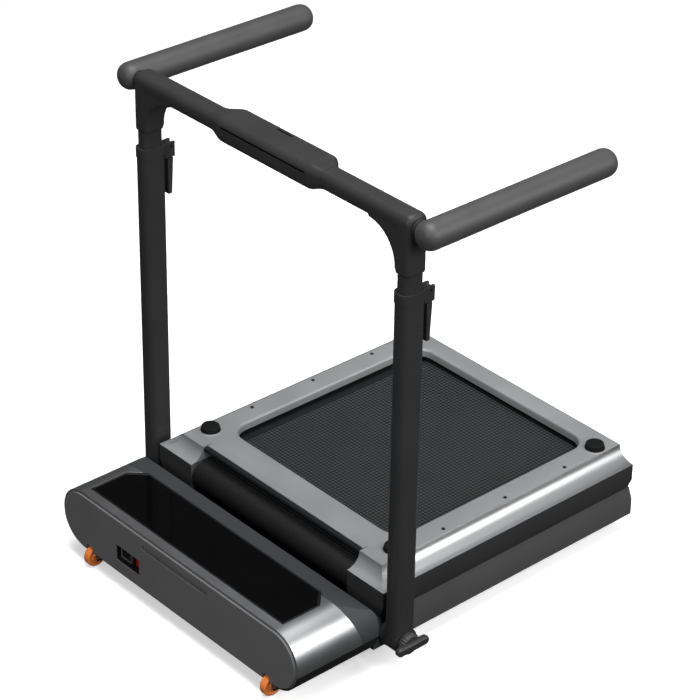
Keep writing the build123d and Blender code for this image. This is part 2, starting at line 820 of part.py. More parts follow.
def clamp_lever(name, side):
    x = side * MAST_X
    with BuildPart() as lever:
        rod((x - 4.6, x + 4.6), LEVER_S, LEVER_Z, 7.5)
        block((x - 4.6, x + 4.6), (LEVER_S - 7, LEVER_S + 4), (LEVER_Z - 28, LEVER_Z))
        with BuildSketch(beside(x - 8)):
            with BuildLine():
                Polyline(
                    (at(LEVER_S - 8), LEVER_Z - 25),
                    (at(LEVER_S + 5), LEVER_Z - 25),
                    (at(LEVER_S + 1), LEVER_TIP_Z),
                    (at(LEVER_S - 7), LEVER_TIP_Z),
                    close=True,
                )
            make_face()
        extrude(amount=16)
        with Locations(Location((x, at(LEVER_S - 3), LEVER_TIP_Z + 10), (90, 0, 0))):
            Cylinder(3.5, 30, mode=Mode.SUBTRACT)
        rod((x - 8, x + 8), LEVER_S, LEVER_Z, 3 + RUNNING_FIT, Mode.SUBTRACT)
    finish(lever, name)


def base_knob(name, side):
    """The hand knob that clamps the mast's pivot: a round hub under a wing bar."""
    inner = side * (MAST_X + TUBE_X / 2 + 0.5)
    outer = side * 397
    with BuildPart() as knob:
        rod((inner, outer), MAST_S, MAST_PIVOT_Z, 22)
        block((side * 382, outer), (MAST_S - 38, MAST_S + 38), (MAST_PIVOT_Z - 9, MAST_PIVOT_Z + 9))
        rod((inner, side * 395), MAST_S, MAST_PIVOT_Z, AXLE_R + RUNNING_FIT, Mode.SUBTRACT)
    finish(knob, name)


# ---- handlebar ----------------------------------------------------------------------------
def inner_tubes():
    hollow = (INNER_X - 4, INNER_Y - 4)
    with BuildPart() as tubes:
        for side in (-1, 1):
            x = side * MAST_X
            rounded_bar(x, (INNER_X, INNER_Y), INNER_R, INNER_LOW, CORNER_LOW)
            rounded_bar(x, hollow, INNER_R - 2, INNER_LOW, CORNER_LOW, Mode.SUBTRACT)
    finish(tubes, "inner_tubes")


def corner_piece(name, side):
    """The casting that joins tube, crossbar and handle, with the stub the handle turns on."""
    inner, outer = MAST_X - TUBE_X / 2, MAST_X + TUBE_X / 2
    low, top = BAR_Z - BAR_H / 2, BAR_Z + BAR_H / 2
    with BuildPart() as corner:
        with BuildSketch(facing(MAST_S + BAR_Y / 2)):
            with BuildLine():
                Polyline(
                    (side * inner, 850),
                    (side * inner, CORNER_LOW),
                    (side * outer, CORNER_LOW),
                    (side * outer, top - 20),
                    (side * (outer - 20), top),
                    (side * CORNER_IN, top),
                    (side * CORNER_IN, low),
                    (side * (CORNER_IN + 12), low),
                )
                ThreePointArc(
                    (side * (CORNER_IN + 12), low),
                    (side * (inner - 15), low - 15),
                    (side * inner, 850),
                )
            make_face()
        extrude(amount=BAR_Y)
        rod((side * (outer - 1), side * (HANDLE_X - 2)), MAST_S, HANDLE_Z, STUB_R)
    finish(corner, name)


def bar_section(x, size, radius, station, z):
    """A rounded-rectangle section across the handlebar."""
    with BuildSketch(beside(x)) as section:
        with Locations((at(station), z)):
            RectangleRounded(*size, radius)
    return section.sketch


def crossbar():
    outer = bar_section(-CORNER_IN, (BAR_Y, BAR_H), BAR_R, MAST_S, BAR_Z)
    hollow = (BAR_Y - 2 * BAR_WALL, BAR_H - 2 * BAR_WALL)
    inner = bar_section(-CORNER_IN, hollow, BAR_R - BAR_WALL, MAST_S, BAR_Z)
    with BuildPart() as bar:
        extrude(outer, amount=2 * CORNER_IN)
        extrude(inner, amount=2 * CORNER_IN, mode=Mode.SUBTRACT)
    finish(bar, "crossbar")


def console():
    """The swollen middle of the handlebar: a cover clamped round the crossbar."""
    wide = [bar_section(x, (72, 50), 16, 249.0, 922.0) for x in (-CONSOLE_W, CONSOLE_W)]
    ends = [
        bar_section(x, (BAR_Y + 1, BAR_H + 1), BAR_R, MAST_S, BAR_Z)
        for x in (-CONSOLE_RUN, CONSOLE_RUN)
    ]
    core = bar_section(-CONSOLE_RUN, (BAR_Y, BAR_H), BAR_R, MAST_S, BAR_Z)
    with BuildPart() as cover:
        extrude(wide[0], amount=2 * CONSOLE_W)
        loft([ends[0], wide[0]])
        loft([wide[1], ends[1]])
        extrude(core, amount=2 * CONSOLE_RUN, mode=Mode.SUBTRACT)
        block((-CONSOLE_W + 3, CONSOLE_W - 3), (200, 215), (928, 933), Mode.SUBTRACT)
        block((-20, 20), (270.5, 273.5), (943, 950), Mode.SUBTRACT)
    finish(cover, "console_cover")
    with BuildPart() as strip:
        block((-CONSOLE_W + 3, CONSOLE_W - 3), (213.4, 215), (928, 933))
    finish(strip, "display_strip")


def handle(name, side):
    """A padded grip that turns down on a round neck."""
    neck = (side * (MAST_X + TUBE_X / 2 + 0.4), side * (HANDLE_X - 10))
    with BuildPart() as grip:
        with BuildSketch(facing(MAST_S)):
            with Locations((side * HANDLE_X, HANDLE_Z)):
                Circle(HANDLE_R)
        extrude(amount=MAST_S - HANDLE_END + HANDLE_R)
        for s in (MAST_S, HANDLE_END - HANDLE_R):
            with Locations((side * HANDLE_X, at(s), HANDLE_Z)):
                Sphere(HANDLE_R)
        rod(neck, MAST_S, HANDLE_Z, NECK_R)
        rod(
            (side * (MAST_X + 10), side * (HANDLE_X - 1.5)),
            MAST_S,
            HANDLE_Z,
            STUB_R + RUNNING_FIT,
            Mode.SUBTRACT,
        )
    finish(grip, name)


# ---- assembly -----------------------------------------------------------------------------
def front_half():
    side_rails("front_rails", LOWER, RAIL_START, FRONT_END)
    side_trims("front_trims", LOWER, RAIL_START, FRONT_END)
    bottom_plate("front_bottom_plate", LOWER, RAIL_START, FRONT_END)
    feet("front_feet", LOWER)
    crossmembers("front_crossmembers", LOWER, (300.0, 560.0, 820.0))
    running_board("front_running_board", LOWER, HOOD_END + 8, HINGE_S - 12)
    belt_half("belt_front", LOWER, DRIVE_S)
    belt_fold()
    hinge_knuckles("hinge_front_knuckles", LOWER, ((240, 254), (270, 284)))
    hinge_pins()


def rear_half():
    side_rails("rear_rails", UPPER, NOTCH_S, REAR_END)
    side_trims("rear_trims", UPPER, NOTCH_S, REAR_END)
    bottom_plate("rear_bottom_plate", UPPER, NOTCH_S, REAR_END)
    plate_screws("rear_screws", UPPER)
    feet("rear_feet", UPPER)
    crossmembers("rear_crossmembers", UPPER, (320.0, 560.0, 820.0))
    running_board("rear_running_board", UPPER, TAIL_S + 32, HINGE_S - 12)
    belt_half("belt_rear", UPPER, TAIL_S)
    hinge_knuckles("hinge_rear_knuckles", UPPER, ((254.3, 269.7),))
    rear_end_caps()
    rear_lip()
    rear_roller()


def hood_and_drive():
    hood_shell()
    hood_rear_cover()
    base_pan()
    front_cover()
    top_glass()
    inlet_frame()
    power_inlet()
    switch_rocker()
    motor()
    drive_roller()
    bearing_blocks()
    drive_belt()
    controller()
    wheel_axles()
    for name, side in (("wheel_left", -1), ("wheel_right", 1)):
        wheel(name, side)


def mast_and_handlebar():
    mast_brackets()
    mast_bolts()
    clamp_collars()
    inner_tubes()
    crossbar()
    console()
    for word, side in (("left", -1), ("right", 1)):
        mast_tube(f"mast_tube_{word}", side)
        clamp_lever(f"clamp_lever_{word}", side)
        base_knob(f"base_knob_{word}", side)
        corner_piece(f"corner_piece_{word}", side)
        handle(f"handle_{word}", side)


os.makedirs("parts", exist_ok=True)
front_half()
rear_half()
hood_and_drive()
mast_and_handlebar()
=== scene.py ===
"""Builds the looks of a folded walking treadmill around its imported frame."""

import json
from math import cos, pi, radians, sin, tau

import bmesh
import bpy
from bpy.props import FloatProperty, FloatVectorProperty, PointerProperty
from bpy.types import Operator, Panel, PropertyGroup
from mathutils import Matrix, Vector


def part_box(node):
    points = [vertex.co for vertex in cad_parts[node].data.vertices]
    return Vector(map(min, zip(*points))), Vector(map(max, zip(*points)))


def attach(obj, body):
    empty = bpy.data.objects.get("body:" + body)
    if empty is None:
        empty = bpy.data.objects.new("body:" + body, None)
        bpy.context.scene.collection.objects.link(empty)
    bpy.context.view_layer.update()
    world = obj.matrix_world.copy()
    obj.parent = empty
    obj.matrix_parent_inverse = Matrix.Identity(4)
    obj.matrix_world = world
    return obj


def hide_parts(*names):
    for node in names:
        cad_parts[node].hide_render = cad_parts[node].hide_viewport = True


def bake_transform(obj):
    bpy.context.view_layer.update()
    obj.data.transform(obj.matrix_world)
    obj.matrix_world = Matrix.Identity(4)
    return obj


bl_info = {
    "name": "Folding treadmill looks", "version": (1, 0, 0), "blender": (4, 5, 0),
    "location": "View3D > Sidebar > Treadmill",
    "description": "Skins, belts, grips and fittings around a packed treadmill frame",
    "category": "Object",
}

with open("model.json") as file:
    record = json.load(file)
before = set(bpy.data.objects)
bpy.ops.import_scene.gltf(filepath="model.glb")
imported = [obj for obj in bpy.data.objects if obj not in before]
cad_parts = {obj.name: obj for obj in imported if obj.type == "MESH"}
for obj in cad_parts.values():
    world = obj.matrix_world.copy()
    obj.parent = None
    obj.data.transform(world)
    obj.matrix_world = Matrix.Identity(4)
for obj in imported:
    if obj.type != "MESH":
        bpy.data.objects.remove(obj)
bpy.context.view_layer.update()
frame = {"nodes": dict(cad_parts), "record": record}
MM = 0.001
BODY_OF = {
    node: body for body, nodes in frame["record"]["behaviour"]["bodies"].items() for node in nodes
}
SIDES = (("left", -1), ("right", 1))

PART_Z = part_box("front_rails")[1].z + 0.3 * MM  # the parting plane and the fold axis
MAST_Y = (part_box("mast_tube_left")[0].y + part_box("mast_tube_left")[1].y) / 2
SMOOTH_ANGLE = radians(32)
TUBE_X = 355 * MM  # the middle of a mast tube
GRIP_X = 404 * MM  # the middle of a grip
FOOT_X = 267 * MM  # the middle of a deck foot
RAIL_INNER_X = 289.5 * MM
WINDOW = (484 * MM, 506.5 * MM, 40 * MM)  # width, length and corner radius of a plate's window
WINDOW_Y = 145.7 * MM
HAIR = 0.01 * MM  # points nearer than this are one


# ---- colours and materials ----------------------------------------------------------------
def linear(code):
    """An sRGB hex colour as linear red, green, blue and alpha."""
    channels = [int(code[n : n + 2], 16) / 255 for n in (1, 3, 5)]
    return (*(c / 12.92 if c <= 0.04045 else ((c + 0.055) / 1.055) ** 2.4 for c in channels), 1.0)


def scaled(colour, factor):
    """A colour made lighter or darker."""
    return (*(min(1.0, c * factor) for c in colour[:3]), 1.0)


def connect(tree, node, inputs):
    """Sets a node's sockets or links them. A node as a value stands for its first output."""
    for key, value in inputs.items():
        if isinstance(value, bpy.types.Node):
            value = value.outputs[0]
        if isinstance(value, bpy.types.NodeSocket):
            tree.links.new(value, node.inputs[key])
        else:
            node.inputs[key].default_value = value


def add_node(tree, kind, inputs=None, **settings):
    """Adds one shader node, with its settings, and its sockets' values or links."""
    node = tree.nodes.new("ShaderNode" + kind)
    for key, value in settings.items():
        setattr(node, key, value)
    connect(tree, node, inputs or {})
    return node


MIX_A, MIX_B, MIX_COLOUR = 6, 7, 2  # the colour sockets of a Mix node


def new_material(name, colour, roughness, metallic=0.0, **sockets):
    """A Principled surface, with any further socket named with underscores."""
    material = bpy.data.materials.new(name)
    material.use_nodes = True
    material.diffuse_color = (*colour[:3], 1.0)
    tree = material.node_tree
    tree.nodes.clear()
    inputs = {"Base Color": (*colour[:3], 1.0), "Roughness": roughness, "Metallic": metallic}
    inputs.update({key.replace("_", " "): value for key, value in sockets.items()})
    shader = add_node(tree, "BsdfPrincipled", inputs)
    add_node(tree, "OutputMaterial", {"Surface": shader})
    return material, tree, shader


def object_place(tree, stretch=(1.0, 1.0, 1.0)):
    """Object coordinates in metres, stretched for a surface with a direction."""
    place = add_node(tree, "TexCoord").outputs["Object"]
    return add_node(tree, "Mapping", {"Vector": place, "Scale": stretch})


def grained(
    name, colour, roughness, grain, relief,
    tint=0.06, wear=0.06, shine=0.5, stretch=(1, 1, 1), **sockets
):
    """A surface with fine relief, and broad soft patches where it has been touched and wiped.

    grain is the size of the relief's marks and relief its height, both in millimetres.
    """
    material, tree, shader = new_material(
        name, colour, roughness, Specular_IOR_Level=shine, **sockets
    )
    place = object_place(tree, stretch)
    fine = add_node(
        tree, "TexNoise",
        {"Vector": place, "Scale": 1 / (grain * MM), "Detail": 2.0, "Roughness": 0.6},
    )
    broad = add_node(tree, "TexNoise", {"Vector": place, "Scale": 11.0, "Detail": 4.0})
    patches = add_node(tree, "MapRange", {"Value": broad, "From Min": 0.35, "From Max": 0.65})
    shade = add_node(
        tree, "Mix", {0: patches, MIX_A: scaled(colour, 1 - tint), MIX_B: scaled(colour, 1 + tint)},
        data_type="RGBA",
    ).outputs[MIX_COLOUR]
    speck = add_node(
        tree, "Mix", {0: fine, MIX_A: scaled(colour, 1 - tint), MIX_B: shade}, data_type="RGBA",
    ).outputs[MIX_COLOUR]
    dull = add_node(
        tree, "MapRange", {"Value": patches, "To Min": roughness - wear, "To Max": roughness + wear}
    )
    bump = add_node(tree, "Bump", {"Height": fine, "Distance": relief * MM})
    connect(tree, shader, {"Base Color": speck, "Roughness": dull, "Normal": bump})
    return material


def woven_pvc_belt(colour, pitch, turn_y):
    """PVC belting pressed against a woven cloth: dull pips in slanting rows. Their tops are painted
    lighter as a painted highlight, and the valleys between them are painted dark as painted shade.

    The real cloth has about 2.5 mm between threads. It is drawn coarser, so that it shows.
    Where the belt turns over at turn_y, the pips are pulled flat and it looks smooth; with them the
    painted highlights fade, so it is darker there.
    """
    material, tree, shader = new_material(
        "woven_pvc_belt", colour, 0.62, IOR=1.53, Specular_IOR_Level=0.3
    )
    axes = add_node(tree, "SeparateXYZ", {0: object_place(tree)}).outputs
    along = add_node(tree, "Math", {0: axes["Y"], 1: axes["Z"]}, operation="ADD")
    waves = []
    for source in (axes["X"], along):
        turn = add_node(tree, "Math", {0: source, 1: tau / pitch}, operation="MULTIPLY")
        waves.append(add_node(tree, "Math", {0: turn}, operation="SINE"))
    weave = add_node(tree, "Math", {0: waves[0], 1: waves[1]}, operation="ADD")
    pips = add_node(
        tree, "MapRange", {"Value": weave, "From Min": -0.5, "From Max": 1.0},
        interpolation_type="SMOOTHSTEP",
    )
    away = add_node(tree, "Math", {0: axes["Y"], 1: turn_y}, operation="SUBTRACT")
    away = add_node(tree, "Math", {0: away}, operation="ABSOLUTE")
    laid = add_node(
        tree, "MapRange", {"Value": away, "From Min": 20 * MM, "From Max": 28 * MM, "To Min": 0.12},
    )
    height = add_node(tree, "Math", {0: pips, 1: laid}, operation="MULTIPLY")
    dust = add_node(tree, "TexNoise", {"Vector": object_place(tree), "Scale": 14.0, "Detail": 5.0})
    # The pip tops: a painted highlight, varied a little by the dust noise.
    lit_tips = add_node(
        tree, "Mix", {0: dust, MIX_A: scaled(colour, 3.0), MIX_B: scaled(colour, 4.4)},
        data_type="RGBA",
    ).outputs[MIX_COLOUR]
    # Valleys painted dark as painted shade, pip tops painted light as painted highlight.
    shade = add_node(
        tree, "Mix", {0: height, MIX_A: scaled(colour, 0.12), MIX_B: lit_tips}, data_type="RGBA"
    ).outputs[MIX_COLOUR]
    bump = add_node(tree, "Bump", {"Height": height, "Distance": 0.5 * MM})
    connect(tree, shader, {"Base Color": shade, "Normal": bump})
    return material


def closed_cell_foam(colour):
    """Skinned closed-cell foam: dull, a little soft at the edge, with small round cells."""
    material, tree, shader = new_material(
        "closed_cell_foam", colour, 0.46, Sheen_Weight=0.03, IOR=1.5, Specular_IOR_Level=0.35
    )
    place = object_place(tree)
    cells = add_node(tree, "TexVoronoi", {"Vector": place, "Scale": 1 / (1.4 * MM)})
    broad = add_node(tree, "TexNoise", {"Vector": place, "Scale": 16.0, "Detail": 3.0})
    shade = add_node(
        tree, "Mix", {0: broad, MIX_A: scaled(colour, 0.85), MIX_B: scaled(colour, 1.18)},
        data_type="RGBA",
    ).outputs[MIX_COLOUR]
    dull = add_node(tree, "MapRange", {"Value": broad, "To Min": 0.4, "To Max": 0.54})
    bump = add_node(
        tree, "Bump", {"Height": cells.outputs["Distance"], "Distance": 0.12 * MM, "Strength": 0.7}
    )
    connect(tree, shader, {"Base Color": shade, "Roughness": dull, "Normal": bump})
    return material


# Each finish: its name, the record's slot, its colour in hex or as a setting's name, its
# roughness, its grain and relief in millimetres, and what else sets it apart.
FINISHES = (
    # Polyester powder coat on extrusion: satin, with a fine orange-peel ripple.
    ("powder_coated_aluminium", "rail_paint", "rails", 0.5, 1.6, 0.05, dict(shine=0.15)),
    # The same coat in a paler grey on the front half: painted light, standing in for the light that
    # falls on the lower half of the folded deck.
    ("grey_powder_coated_aluminium", "rail_paint", "grey_rails", 0.5, 1.6, 0.05, dict(shine=0.2)),
    # Powder coat on steel tube, baked a little glossier: a long soft highlight down each mast.
    ("powder_coated_mast", "mast_paint", "mast", 0.4, 1.6, 0.05, dict(shine=0.22)),
    # Bright-dipped and clear-anodised extrusion: a soft mirror with faint draw lines along it.
    (
        "polished_anodised_aluminium", "trim_silver", "trims", 0.36, 1.2, 0.004,
        dict(tint=0.03, wear=0.03, stretch=(1, 0.02, 1), metallic=1.0),
    ),
    # Metallic lacquer over ABS: even flakes under a clear coat.
    (
        "silver_painted_abs", "shell_silver", "shell", 0.38, 1.2, 0.003,
        dict(tint=0.03, wear=0.02, metallic=1.0, Coat_Weight=0.2, Coat_Roughness=0.12),
    ),
    # Matt silver paint on sheet steel: flat and even, with a slight tooth.
    (
        "silver_painted_steel", "plate_silver", "plates", 0.5, 1.3, 0.03,
        dict(tint=0.04, metallic=0.35),
    ),
    # The same matt silver over moulded ABS.
    ("matt_silver_abs", "shell_silver", "plates", 0.48, 1.3, 0.02, dict(tint=0.04, metallic=0.35)),
    # Nitrile rubber pressed in a blasted mould: near black, matt, faintly bloomed.
    ("moulded_nitrile_rubber", "rubber", "rubber", 0.7, 1.5, 0.06, dict(tint=0.12, shine=0.15)),
    # Phenolic film on plywood: brown-black, waxed, with long faint streaks.
    (
        "phenolic_faced_board", "board", "#2B211C", 0.38, 1.8, 0.02,
        dict(tint=0.2, stretch=(1, 0.05, 1)),
    ),
    # ABS from a spark-eroded mould: an even fine grain that softens every reflection.
    ("textured_abs", "cover_plastic", "covers", 0.5, 1.3, 0.08, dict(shine=0.25)),
    # The same ABS in a darker grey, rougher: painted shade on the rounding behind the hood, which
    # dulls it.
    ("grey_textured_abs", "cover_plastic", "#3C3D3F", 0.55, 1.3, 0.08, dict(shine=0.15)),
    # Near-black ABS with a coarse tooth: hardly a highlight.
    ("dark_textured_abs", "pan_plastic", "pan", 0.58, 1.3, 0.08, dict(shine=0.1)),
    # Cast acrylic tinted from behind: black, deep gloss, a little dust in the sheen.
    (
        "tinted_acrylic", "glass_black", "glass", 0.07, 2.5, 0.002,
        dict(tint=0.2, wear=0.03, IOR=1.49, shine=0.2),
    ),
    # ABS off a smooth mould: satin black.
    ("satin_black_abs", "bezel_black", "#141415", 0.34, 1.2, 0.02, dict(tint=0.1)),
    # Zinc plate: pale grey, half dull, cloudy.
    ("zinc_plated_steel", "steel", "#A8A9AA", 0.34, 1.6, 0.02, dict(tint=0.1, metallic=1.0)),
    # Steel screws, black-oxide finish: near black, faintly oily.
    ("blackened_steel", "steel", "#161617", 0.42, 1.2, 0.02, dict(tint=0.1, metallic=0.5)),
    # Die-cast aluminium, blasted: grey, dull, with a sandy skin.
    ("die_cast_aluminium", "cast", "#8C8D8F", 0.52, 1.3, 0.08, dict(tint=0.08, metallic=0.9)),
    # Glass-filled nylon: black with a dry, slightly streaked skin.
    (
        "glass_filled_nylon", "lever_black", "levers", 0.48, 1.4, 0.05,
        dict(tint=0.12, stretch=(1, 1, 0.4)),
    ),
    # Polyurethane cast on a hub: saturated, waxy, with light passing under its skin.
    (
        "moulded_polyurethane", "wheel_orange", "wheels", 0.4, 1.5, 0.03,
        dict(Subsurface_Weight=0.12, Subsurface_Scale=0.004),
    ),
    # Polycarbonate: clean red gloss.
    ("red_polycarbonate", "switch_red", "switch", 0.25, 1.5, 0.01, dict(tint=0.08, IOR=1.58)),
    # Stoving enamel on the motor's rolled can: smooth with a soft ripple.
    ("enamelled_steel", "motor_body", "#232427", 0.36, 2.4, 0.05, dict(tint=0.1)),
    # Solder mask over glass laminate: green, glossy, with the weave just visible.
    ("circuit_board", "board_green", "#17472F", 0.3, 1.2, 0.02, dict(tint=0.2)),
)
SLOT_OF = {name: slot for name, slot, *_ in FINISHES}
SLOT_OF.update(woven_pvc_belt="belt", closed_cell_foam="grip_foam")


def make_finishes(sizes, colours):
    """Every material of the machine, each under its own name."""
    for name, _, source, roughness, grain, relief, others in FINISHES:
        colour = linear(source) if source.startswith("#") else getattr(colours, source)
        grained(name, colour, roughness, grain, relief, **others)
    woven_pvc_belt(colours.belt, sizes.belt_weave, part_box("belt_rear")[0].y + 14 * MM)
    closed_cell_foam(colours.grips)


# ---- mesh tools ---------------------------------------------------------------------------
def toward(axis, origin=(0, 0, 0)):
    """Places a section so that its depth runs along an axis.

    Across, up and along become y, z, x for X; x, z, -y for Y; and x, y, z for Z.
    """
    columns = {
        "X": ((0, 1, 0), (0, 0, 1), (1, 0, 0)), "Y": ((1, 0, 0), (0, 0, 1), (0, -1, 0)),
        "Z": ((1, 0, 0), (0, 1, 0), (0, 0, 1)),
    }[axis]
    return Matrix.Translation(origin) @ Matrix(columns).transposed().to_4x4()


def rounded_rectangle(width, height, radius, centre=(0, 0), steps=6):
    """The outline of a rectangle with round corners."""
    points = []
    for quarter, (sx, sy) in enumerate(((1, 1), (-1, 1), (-1, -1), (1, -1))):
        cx = centre[0] + sx * (width / 2 - radius)
        cy = centre[1] + sy * (height / 2 - radius)
        for step in range(steps + 1):
            turn = (quarter + step / steps) * pi / 2
            points.append((cx + radius * cos(turn), cy + radius * sin(turn)))
    return points


def in_mm(rows):
    """Pairs of millimetres as pairs of metres."""
    return [(first * MM, second * MM) for first, second in rows]


def add_bands(shape, loops):
    """Faces between each loop of vertices and the next."""
    for before, after in zip(loops, loops[1:]):
        for n in range(len(before)):
            m = (n + 1) % len(before)
            shape.faces.new((before[n], before[m], after[m], after[n]))


def add_loft(shape, sections, caps=True):
    """Skins a row of equal closed loops of points, and closes both ends."""
    loops = [[shape.verts.new(point) for point in section] for section in sections]
    add_bands(shape, loops)
    if caps:
        shape.faces.new(loops[0])
        shape.faces.new(list(reversed(loops[-1])))


def placed(place, outline, along):
    """The points of a flat outline, at a distance along the axis that place gives."""
    return [place @ Vector((u, v, along)) for u, v in outline]


def add_prism(shape, outline, low, high, place):
    """A straight solid of one outline."""
    add_loft(shape, [placed(place, outline, along) for along in (low, high)])


def turned_point(place, along, radius, turn):
    """A point at a distance along a turning axis, out from it and round it."""
    return place @ Vector((radius * cos(turn), radius * sin(turn), along))


def add_turned(shape, profile, place, segments=64):
    """A turned solid: profile gives (distance along, radius), from centre to centre."""
    turns = [tau * n / segments for n in range(segments)]
    add_loft(shape, [[turned_point(place, *row, turn) for turn in turns] for row in profile])


def add_ring(shape, profile, place, segments=64):
    """A turned ring: profile is a closed outline of (distance along, radius)."""
    loops = []
    for n in range(segments):
        points = [turned_point(place, *row, tau * n / segments) for row in profile]
        loops.append([shape.verts.new(point) for point in points])
    add_bands(shape, loops + loops[:1])


def add_box(shape, low, high):
    """A plain block, for a small part of a larger piece."""
    outline = [(low[0], low[1]), (high[0], low[1]), (high[0], high[1]), (low[0], high[1])]
    add_prism(shape, outline, low[2], high[2], Matrix.Identity(4))


def add_object(name, shape, material):
    """Turns a finished shape into an object of one material."""
    mesh = bpy.data.meshes.new(name)
    shape.to_mesh(mesh)
    shape.free()
    mesh.materials.append(material)
    made = bpy.data.objects.new(name, mesh)
    bpy.context.scene.collection.objects.link(made)
    return made


def smooth(mesh):
    """Shades every face of a mesh smoothly."""
    for face in mesh.polygons:
        face.use_smooth = True


def make_piece(name, shape, finish, body, replaced=(), edge=0.0, segments=2):
    """Turns a shape into a piece, with its edges rounded, that rides on a body unless None."""
    bmesh.ops.recalc_face_normals(shape, faces=shape.faces)
    piece = add_object(name, shape, bpy.data.materials[finish])
    smooth(piece.data)
    if edge:
        bevel = piece.modifiers.new("rounded_edges", "BEVEL")
        bevel.width = edge
        bevel.segments = segments
        bevel.limit_method = "ANGLE"
        bevel.angle_limit = SMOOTH_ANGLE
        piece.modifiers.new("even_shading", "WEIGHTED_NORMAL").weight = 60
    else:
        piece.data.set_sharp_from_angle(angle=SMOOTH_ANGLE)
    if body:
        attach(piece, body)
    if replaced:
        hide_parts(*replaced)
    return piece


def settle(piece):
    """Applies a piece's modifiers, for a mesh that is shaped further."""
    graph = bpy.context.evaluated_depsgraph_get()
    mesh = bpy.data.meshes.new_from_object(piece.evaluated_get(graph))
    piece.modifiers.clear()
    piece.data = mesh
    smooth(mesh)


def cut(piece, cutter_shape):
    """Takes a shape out of a piece."""
    bmesh.ops.recalc_face_normals(cutter_shape, faces=cutter_shape.faces)
    cutter = add_object("cutter", cutter_shape, piece.data.materials[0])
    hole = piece.modifiers.new("hole", "BOOLEAN")
    hole.operation = "DIFFERENCE"
    hole.solver = "EXACT"
    hole.object = cutter
    settle(piece)
    bpy.data.meshes.remove(cutter.data)
    piece.data.set_sharp_from_angle(angle=SMOOTH_ANGLE)


def shape_of(*nodes):
    """The shape of CAD nodes, with flat faces joined up so that their edges can be rounded."""
    shape = bmesh.new()
    for node in nodes:
        shape.from_mesh(frame["nodes"][node].data)
    bmesh.ops.remove_doubles(shape, verts=shape.verts, dist=HAIR)
    bmesh.ops.dissolve_limit(
        shape, angle_limit=radians(0.6), verts=shape.verts, edges=shape.edges, delimit=set()
    )
    return shape


def skin(node, finish, edge, segments=2):
    """A rounded skin that stands for one CAD node."""
    return make_piece(
        node + "_skin", shape_of(node), finish, BODY_OF[node], (node,), edge * MM, segments
    )


def skins(*rows):
    """Skins for several nodes, each with its finish, its edge in mm and perhaps its segments."""
    for row in rows:
        skin(*row)


def dress(finish, *nodes):
    """Gives CAD nodes that keep their own shape a material."""
    for node in nodes:
        materials = frame["nodes"][node].data.materials
        materials.clear()
        materials.append(bpy.data.materials[finish])


def middle(node):
    """The centre of a CAD node's box."""
    low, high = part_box(node)
    return (low + high) / 2


# ---- deck ---------------------------------------------------------------------------------
def deck_feet(half, body, sizes):
    """Domed rubber discs, each inside a bright pressed ring."""
    node = f"{half}_feet"
    low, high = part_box(node)
    radius = (high.x - low.x) / 2 - FOOT_X
    base, outward = (high.z, -1) if half == "front" else (low.z, 1)
    tall = high.z - low.z
    discs, rings = bmesh.new(), bmesh.new()
    for x in (low.x + radius, high.x - radius):
        for y in (low.y + radius, high.y - radius):
            place = Matrix.Translation((x, y, base)) @ Matrix.Diagonal((1, 1, outward, 1))
            disc = ((0, 19.8), (2.2, 19.8), (2.6, 18.4), (9.4, 18.2), (10.4, 17.7), (11.0, 16.6))
            profile = in_mm(disc)
            crown = [(tall, 14 * MM), (tall, 8 * MM), (tall - 0.2 * MM, 0.2 * MM)]
            add_turned(discs, profile + crown, place)
            wide = sizes.foot_ring
            lip = ((0, 20.1 * MM), (1.1 * MM, 20.5 * MM), (1.3 * MM, 21.2 * MM))
            lip += ((0.8 * MM, 20.2 * MM + wide), (0, 20.6 * MM + wide))
            add_ring(rings, lip, place)
    make_piece(f"{half}_foot_pads", discs, "moulded_nitrile_rubber", body, (node,))
    make_piece(f"{half}_foot_rings", rings, "silver_painted_steel", body)


def shade_strips(half, body, depth_sign):
    """Dark strips beside the belt's return run, between it and the rails: a dark sheet as painted
    shade, where the walls shade the gap.
    """
    low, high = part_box(f"{half}_rails")
    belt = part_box(f"belt_{half}")[1].x
    shape = bmesh.new()
    for side in (-1, 1):
        near, far = sorted((side * (belt + 0.8 * MM), side * RAIL_INNER_X))
        levels = sorted((PART_Z + depth_sign * 54 * MM, PART_Z + depth_sign * 57 * MM))
        add_box(shape, (near, low.y + 60 * MM, levels[0]), (far, high.y - 2.5 * MM, levels[1]))
    make_piece(f"{half}_guard_strips", shape, "dark_textured_abs", body, edge=0.4 * MM)


